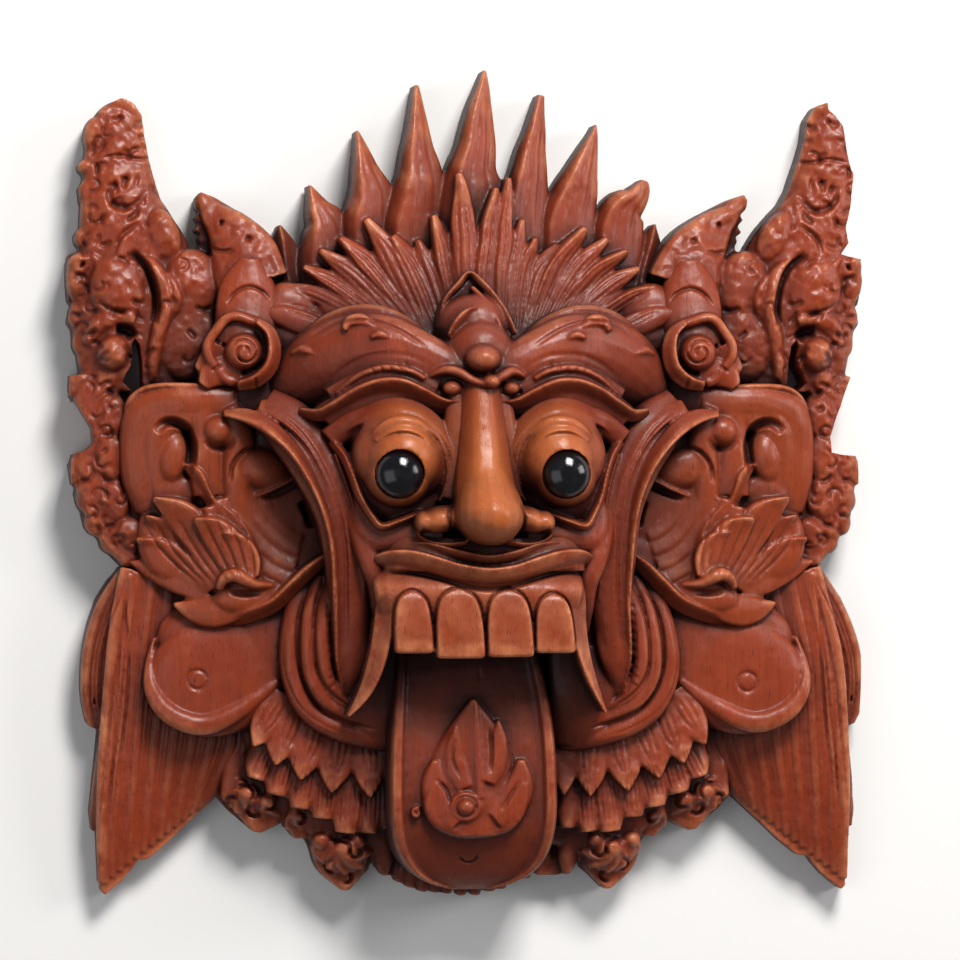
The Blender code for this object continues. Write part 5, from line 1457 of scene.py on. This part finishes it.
def wood_material(name, finish):
    """Stained hardwood with fine grain: painted shade darkens the cuts and a warm rubbed tint
    lightens the edges as a painted highlight.
    """
    made = bpy.data.materials.new(name)
    made.use_nodes = True
    tree = made.node_tree
    shader = tree.nodes["Principled BSDF"]
    recess = node(tree, "ShaderNodeAttribute", attribute_name="recess").outputs["Fac"]
    rubbing_and_sheen = node(tree, "ShaderNodeAttribute", attribute_name="rubbing_and_sheen").outputs["Fac"]
    grain = noise(tree, (520, 34, 520), 4.0, 0.6, 0.6)
    streak = noise(tree, (130, 9, 130), 3.0, 0.5, 0.4)
    pores = noise(tree, (1900, 150, 1900), 1.0)
    blotch = noise(tree, (34, 26, 34), 4.0, 0.6)
    patchy_rubbing_and_sheen = noise(tree, (90, 70, 90), 5.0, 0.65)

    tone = blended(tree, shaped(tree, streak, 0.3, 0.7), tuple(finish.mid), tuple(finish.red))
    tone = blended(tree, shaped(tree, grain, 0.35, 0.75, 0.0, 0.55), tone, tuple(finish.brown))
    tone = blended(tree, shaped(tree, blotch, 0.35, 0.7, 0.0, 0.5), tone, tuple(finish.dusk))
    gold = node(tree, "ShaderNodeAttribute", attribute_name="gold").outputs["Fac"]
    gold = worked(tree, "MULTIPLY", gold, shaped(tree, blotch, 0.2, 0.6, 0.5, 1.0))
    tone = blended(tree, gold, tone, tuple(finish.gold))
    # Painted highlight, with rubbing: the raised edges are lightened in patches toward the rubbed
    # tint.
    edge = worked(tree, "MULTIPLY", shaped(tree, rubbing_and_sheen, 0.3, 1.0, 0.0, 0.85),
                  shaped(tree, patchy_rubbing_and_sheen, 0.36, 0.62, 0.12, 1.0))
    tone = blended(tree, edge, tone, tuple(finish.rubbed_and_sheen))
    # Painted shade, with some stain: the recesses are darkened toward the colour of the cuts.
    painted_shade_mask = shaped(tree, recess, 0.16, 0.72)
    tone = blended(tree, painted_shade_mask, tone, tuple(finish.deep))
    pore = shaped(tree, pores, 0.66, 0.74, 0.0, 0.55)
    tone = blended(tree, pore, tone, tuple(finish.deep))
    tree.links.new(tone, shader.inputs["Base Color"])

    rough = shaped(tree, patchy_rubbing_and_sheen, 0.3, 0.7, finish.gloss, finish.gloss + 0.16)
    rough = worked(tree, "ADD", rough, worked(tree, "MULTIPLY", painted_shade_mask, 0.3))
    rough = worked(tree, "SUBTRACT", rough, worked(tree, "MULTIPLY", edge, 0.1))
    tree.links.new(rough, shader.inputs["Roughness"])
    shader.inputs["Specular IOR Level"].default_value = 0.3
    shader.inputs["Coat Weight"].default_value = 0.14
    shader.inputs["Coat Roughness"].default_value = 0.24

    height = worked(tree, "ADD", grain, worked(tree, "MULTIPLY", pore, -0.9))
    height = worked(tree, "ADD", height, worked(tree, "MULTIPLY", patchy_rubbing_and_sheen, 0.9))
    bump = node(tree, "ShaderNodeBump")
    bump.inputs["Strength"].default_value = 0.5
    bump.inputs["Distance"].default_value = 0.00035
    tree.links.new(height, bump.inputs["Height"])
    tree.links.new(bump.outputs["Normal"], shader.inputs["Normal"])
    return made


def bead_material(name):
    """Polished black glass with faint scratches and dust."""
    made = bpy.data.materials.new(name)
    made.use_nodes = True
    tree = made.node_tree
    shader = tree.nodes["Principled BSDF"]
    dust = noise(tree, (160, 160, 160), 5.0, 0.6)
    scratch = noise(tree, (2600, 500, 1200), 2.0)
    tone = blended(tree, shaped(tree, dust, 0.5, 0.85, 0.0, 0.5), (0.004, 0.004, 0.006),
                   (0.02, 0.018, 0.018))
    tree.links.new(tone, shader.inputs["Base Color"])
    rough = worked(tree, "ADD", shaped(tree, dust, 0.4, 0.8, 0.05, 0.15),
                   shaped(tree, scratch, 0.6, 0.75, 0.0, 0.05))
    tree.links.new(rough, shader.inputs["Roughness"])
    bump = node(tree, "ShaderNodeBump")
    bump.inputs["Strength"].default_value = 0.06
    bump.inputs["Distance"].default_value = 0.0001
    tree.links.new(scratch, bump.inputs["Height"])
    rounded = node(tree, "ShaderNodeBevel", samples=12)
    rounded.inputs["Radius"].default_value = 0.004
    tree.links.new(rounded.outputs["Normal"], bump.inputs["Normal"])
    tree.links.new(bump.outputs["Normal"], shader.inputs["Normal"])
    return made


def floor_material(name):
    """Pale matt paper, all but even."""
    made = bpy.data.materials.new(name)
    made.use_nodes = True
    tree = made.node_tree
    shader = tree.nodes["Principled BSDF"]
    cloud = noise(tree, (3, 3, 3), 2.0)
    tone = blended(tree, cloud, (0.86, 0.86, 0.86), (0.9, 0.9, 0.895))
    tree.links.new(tone, shader.inputs["Base Color"])
    shader.inputs["Roughness"].default_value = 0.9
    return made


# What a user can change

class MaskSizes(bpy.types.PropertyGroup):
    """Sizes of the carving and the stage"""
    coarseness: bpy.props.FloatProperty(
        name="Coarseness", description="Size of the fused cells against the finest carving",
        default=1.0, min=0.8, max=3.0)
    floor_size: bpy.props.FloatProperty(
        name="Floor", description="Width of the pale floor under the mask", default=6.0,
        min=1.0, unit="LENGTH")
    camera_height: bpy.props.FloatProperty(
        name="Camera height", description="How far above the mask the camera hangs", default=3.0,
        min=0.5, unit="LENGTH")


def stain(name, description, colour):
    """A colour setting of the finish."""
    return bpy.props.FloatVectorProperty(name=name, description=description, subtype="COLOR",
                                         size=3, default=colour, min=0.0, max=1.0)


class MaskFinish(bpy.types.PropertyGroup):
    """Colours and gloss of the stained wood"""
    mid: stain("Stain", "Main colour of the stain", (0.26, 0.035, 0.0095))
    red: stain("Red streaks", "Colour of the redder streaks", (0.31, 0.046, 0.012))
    brown: stain("Brown grain", "Colour of the darker grain", (0.165, 0.021, 0.0065))
    dusk: stain("Darker patches", "Colour of broad darker patches", (0.185, 0.026, 0.009))
    # Lighter tint of the rubbed edges, which also paints their highlight.
    rubbed_and_sheen: stain("Worn edges", "Colour of the edges that handling has worn", (0.58, 0.195, 0.085))
    gold: stain("Handled face", "Warmer colour of the nose and the eyes", (0.52, 0.15, 0.034))
    # This colour paints the shade in the recesses and is also the real colour of the pores.
    deep: stain("Cuts", "Colour of stain and dirt in the deep cuts", (0.026, 0.0016, 0.0005))
    gloss: bpy.props.FloatProperty(
        name="Roughness", description="Roughness where the wood is smoothest", default=0.33,
        min=0.0, max=1.0, subtype="FACTOR")


# Stage, in metres

# Point that the camera looks at, and the way from there to the camera
CAMERA_TARGET = Vector((0.0064, 0.0012, 0.020))
CAMERA_WAY = Vector((-0.114, 0.0, 1.0))
CAMERA_REACH = 20.0
# Width that the picture takes in at the target, and the width of the sensor in millimetres
PICTURE_WIDTH = 0.4632
SENSOR = 36.0
FLOOR_DROP = 0.0002
LAMP_AIM = Vector((0.0, 0.0, 0.04))
# Lamps: name, place, size, power in watts, colour
LAMPS = (("key", (0.45, 1.45, 1.5), 0.65, 53.0, (1.0, 0.965, 0.93)),
         ("side", (1.7, 0.5, 1.0), 0.7, 12.0, (1.0, 0.97, 0.95)),
         ("fill", (-1.3, -0.3, 1.9), 1.6, 9.0, (0.95, 0.97, 1.0)))
ROOM_LIGHT = 0.17


# Operators

class BARONG_OT_block(bpy.types.Operator):
    """Build the block and boards behind the carving, with the hollow in their back"""
    bl_idname = "barong.block"
    bl_label = "Block Behind the Face"

    def execute(self, context):
        carve("back_block", block_forms(), voxel=1.5, most=30000, front=False, cuts=back_hollow())
        return {"FINISHED"}


class BARONG_OT_crown(bpy.types.Operator):
    """Carve the spikes and plumes of the crown"""
    bl_idname = "barong.crown"
    bl_label = "Crown"

    def execute(self, context):
        carve("crown", crown_forms(), crown_lines(), most=95000, both_sides=False)
        return {"FINISHED"}


class BARONG_OT_brow(bpy.types.Operator):
    """Carve the brow pads, the lotus petal and the jewel"""
    bl_idname = "barong.brow"
    bl_label = "Brow"

    def execute(self, context):
        carve("brow", brow_forms(), brow_lines(), most=65000, voxel=0.7)
        return {"FINISHED"}


class BARONG_OT_eyes(bpy.types.Operator):
    """Carve the eyeballs and lids and bore them for the beads"""
    bl_idname = "barong.eyes"
    bl_label = "Eyes"

    def execute(self, context):
        carve("eyes", eye_forms(), most=55000, voxel=0.7, cuts=bead_bores())
        return {"FINISHED"}


class BARONG_OT_nose(bpy.types.Operator):
    """Carve the nose"""
    bl_idname = "barong.nose"
    bl_label = "Nose"

    def execute(self, context):
        carve("nose", nose_forms(), nose_lines(), most=28000, voxel=0.7, smooth=20)
        return {"FINISHED"}


class BARONG_OT_mouth(bpy.types.Operator):
    """Carve the lip, the teeth and the tusks"""
    bl_idname = "barong.mouth"
    bl_label = "Mouth"

    def execute(self, context):
        carve("mouth", mouth_forms(), mouth_lines(), most=62000, voxel=0.65, both_sides=False)
        return {"FINISHED"}


class BARONG_OT_tongue(bpy.types.Operator):
    """Carve the tongue and its flame"""
    bl_idname = "barong.tongue"
    bl_label = "Tongue"

    def execute(self, context):
        carve("tongue", tongue_forms(), tongue_lines(), most=50000, voxel=0.7, both_sides=False)
        return {"FINISHED"}


class BARONG_OT_cheeks(bpy.types.Operator):
    """Carve the cheek straps and the loops round the jaw"""
    bl_idname = "barong.cheeks"
    bl_label = "Cheeks"

    def execute(self, context):
        carve("cheeks", cheek_forms(), cheek_lines(), most=80000, voxel=0.75)
        return {"FINISHED"}


class BARONG_OT_ears(bpy.types.Operator):
    """Carve the cupped ears and their leaves"""
    bl_idname = "barong.ears"
    bl_label = "Ears"

    def execute(self, context):
        carve("ears", ear_forms(), ear_lines(), most=98000, voxel=0.8)
        return {"FINISHED"}


class BARONG_OT_plates(bpy.types.Operator):
    """Carve the tall plates beside the ears"""
    bl_idname = "barong.plates"
    bl_label = "Plates"

    def execute(self, context):
        for side, name in ((-1, "plate_left"), (1, "plate_right")):
            carve(name, plate_forms(side), plate_lines(), most=68000, voxel=0.8, rough=0.7,
                  cuts=plate_cuts(side))
        return {"FINISHED"}


class BARONG_OT_flowers(bpy.types.Operator):
    """Carve the flowers at the temples"""
    bl_idname = "barong.flowers"
    bl_label = "Flowers"

    def execute(self, context):
        carve("flowers", flower_forms(), flower_lines(), most=42000, voxel=0.7)
        return {"FINISHED"}


class BARONG_OT_pendants(bpy.types.Operator):
    """Carve the pendants under the ears"""
    bl_idname = "barong.pendants"
    bl_label = "Pendants"

    def execute(self, context):
        carve("pendants", pendant_forms(), pendant_lines(), most=24000, voxel=0.8, both_sides=False)
        return {"FINISHED"}


class BARONG_OT_wings(bpy.types.Operator):
    """Carve the wings of hair"""
    bl_idname = "barong.wings"
    bl_label = "Wings of Hair"

    def execute(self, context):
        carve("wings", wing_forms(), wing_lines(), most=98000, voxel=0.7)
        return {"FINISHED"}


class BARONG_OT_beard(bpy.types.Operator):
    """Carve the leaves, tufts and curls of the beard"""
    bl_idname = "barong.beard"
    bl_label = "Beard"

    def execute(self, context):
        carve("beard", beard_forms(), beard_lines(), most=92000, voxel=0.8, rough=0.4)
        return {"FINISHED"}


class BARONG_OT_finish(bpy.types.Operator):
    """Stain the wood, paint shade into its recesses and highlight on its rubbed edges, and polish
    the beads
    """
    bl_idname = "barong.finish"
    bl_label = "Stain and Polish"

    def execute(self, context):
        heights = closed_relief()
        near, wide = spread(heights, NEAR_CELLS), spread(heights, WIDE_CELLS)
        wood = wood_material("stained_wood_painted_shade_and_highlight", context.scene.mask_finish)
        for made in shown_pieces():
            if made.get("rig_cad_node") is None:
                mark_stain_shade_and_sheen(made, heights, near, wide)
                made.data.materials.clear()
                made.data.materials.append(wood)
        beads = bead_material("black_bead_glass")
        for name in ("eye_bead_left", "eye_bead_right"):
            for used in frame["nodes"][name].material_slots:
                used.material = beads
        return {"FINISHED"}


class BARONG_OT_stage(bpy.types.Operator):
    """Lay the floor, hang the camera over the mask and light it"""
    bl_idname = "barong.stage"
    bl_label = "Stage"

    def execute(self, context):
        sizes = context.scene.mask_sizes
        bpy.ops.object.select_all(action="DESELECT")
        bpy.ops.mesh.primitive_plane_add(size=sizes.floor_size, location=(0, 0, -FLOOR_DROP))
        ground = context.object
        ground.name = "floor"
        ground.data.materials.append(floor_material("pale_floor"))
        ground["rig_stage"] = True

        toward = CAMERA_WAY.normalized()
        across = Vector((0.0, 1.0, 0.0)).cross(toward).normalized()
        turned = Matrix((across, toward.cross(across), toward)).transposed()
        bpy.ops.object.camera_add(location=CAMERA_TARGET + toward * sizes.camera_height,
                                  rotation=turned.to_euler())
        camera = context.object
        camera.data.lens = SENSOR * sizes.camera_height / PICTURE_WIDTH
        camera.data.clip_end = CAMERA_REACH
        context.scene.camera = camera

        for name, place, size, power, colour in LAMPS:
            bpy.ops.object.light_add(type="AREA", location=place)
            lamp = context.object
            lamp.name = name
            lamp.data.shape = "SQUARE"
            lamp.data.size = size
            lamp.data.energy = power
            lamp.data.color = colour
            lamp.rotation_euler = (Vector(place) - LAMP_AIM).to_track_quat("Z", "Y").to_euler()
        world = bpy.data.worlds.new("pale_room")
        world.use_nodes = True
        light = world.node_tree.nodes["Background"]
        light.inputs["Color"].default_value = (1.0, 1.0, 1.0, 1.0)
        light.inputs["Strength"].default_value = ROOM_LIGHT
        context.scene.world = world
        context.scene.view_settings.view_transform = "Standard"
        return {"FINISHED"}


class BARONG_PT_panel(bpy.types.Panel):
    """Sizes, finish and steps of the mask"""
    bl_label = "Barong Mask"
    bl_idname = "BARONG_PT_panel"
    bl_space_type = "VIEW_3D"
    bl_region_type = "UI"
    bl_category = "Mask"

    def draw(self, context):
        column = self.layout.column()
        for name in ("coarseness", "floor_size", "camera_height"):
            column.prop(context.scene.mask_sizes, name)
        for name in ("mid", "red", "brown", "dusk", "rubbed_and_sheen", "gold", "deep", "gloss"):
            column.prop(context.scene.mask_finish, name)
        for step in STEPS:
            column.operator(step.bl_idname)


STEPS = (BARONG_OT_block, BARONG_OT_crown, BARONG_OT_brow, BARONG_OT_eyes, BARONG_OT_nose,
         BARONG_OT_mouth,
         BARONG_OT_tongue, BARONG_OT_cheeks, BARONG_OT_ears, BARONG_OT_plates, BARONG_OT_flowers,
         BARONG_OT_pendants, BARONG_OT_wings, BARONG_OT_beard, BARONG_OT_finish, BARONG_OT_stage)
CLASSES = (MaskSizes, MaskFinish, *STEPS, BARONG_PT_panel)


def register():
    """Registers the classes and hangs the settings on the scene."""
    for made in CLASSES:
        bpy.utils.register_class(made)
    bpy.types.Scene.mask_sizes = bpy.props.PointerProperty(type=MaskSizes)
    bpy.types.Scene.mask_finish = bpy.props.PointerProperty(type=MaskFinish)


def unregister():
    """Takes the settings and the classes away again."""
    del bpy.types.Scene.mask_finish
    del bpy.types.Scene.mask_sizes
    for made in reversed(CLASSES):
        bpy.utils.unregister_class(made)


def main():
    """Carves the mask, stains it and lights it."""
    register()
    for step in STEPS:
        group, name = step.bl_idname.split(".")
        getattr(getattr(bpy.ops, group), name)()


if __name__ == "__main__":
    main()
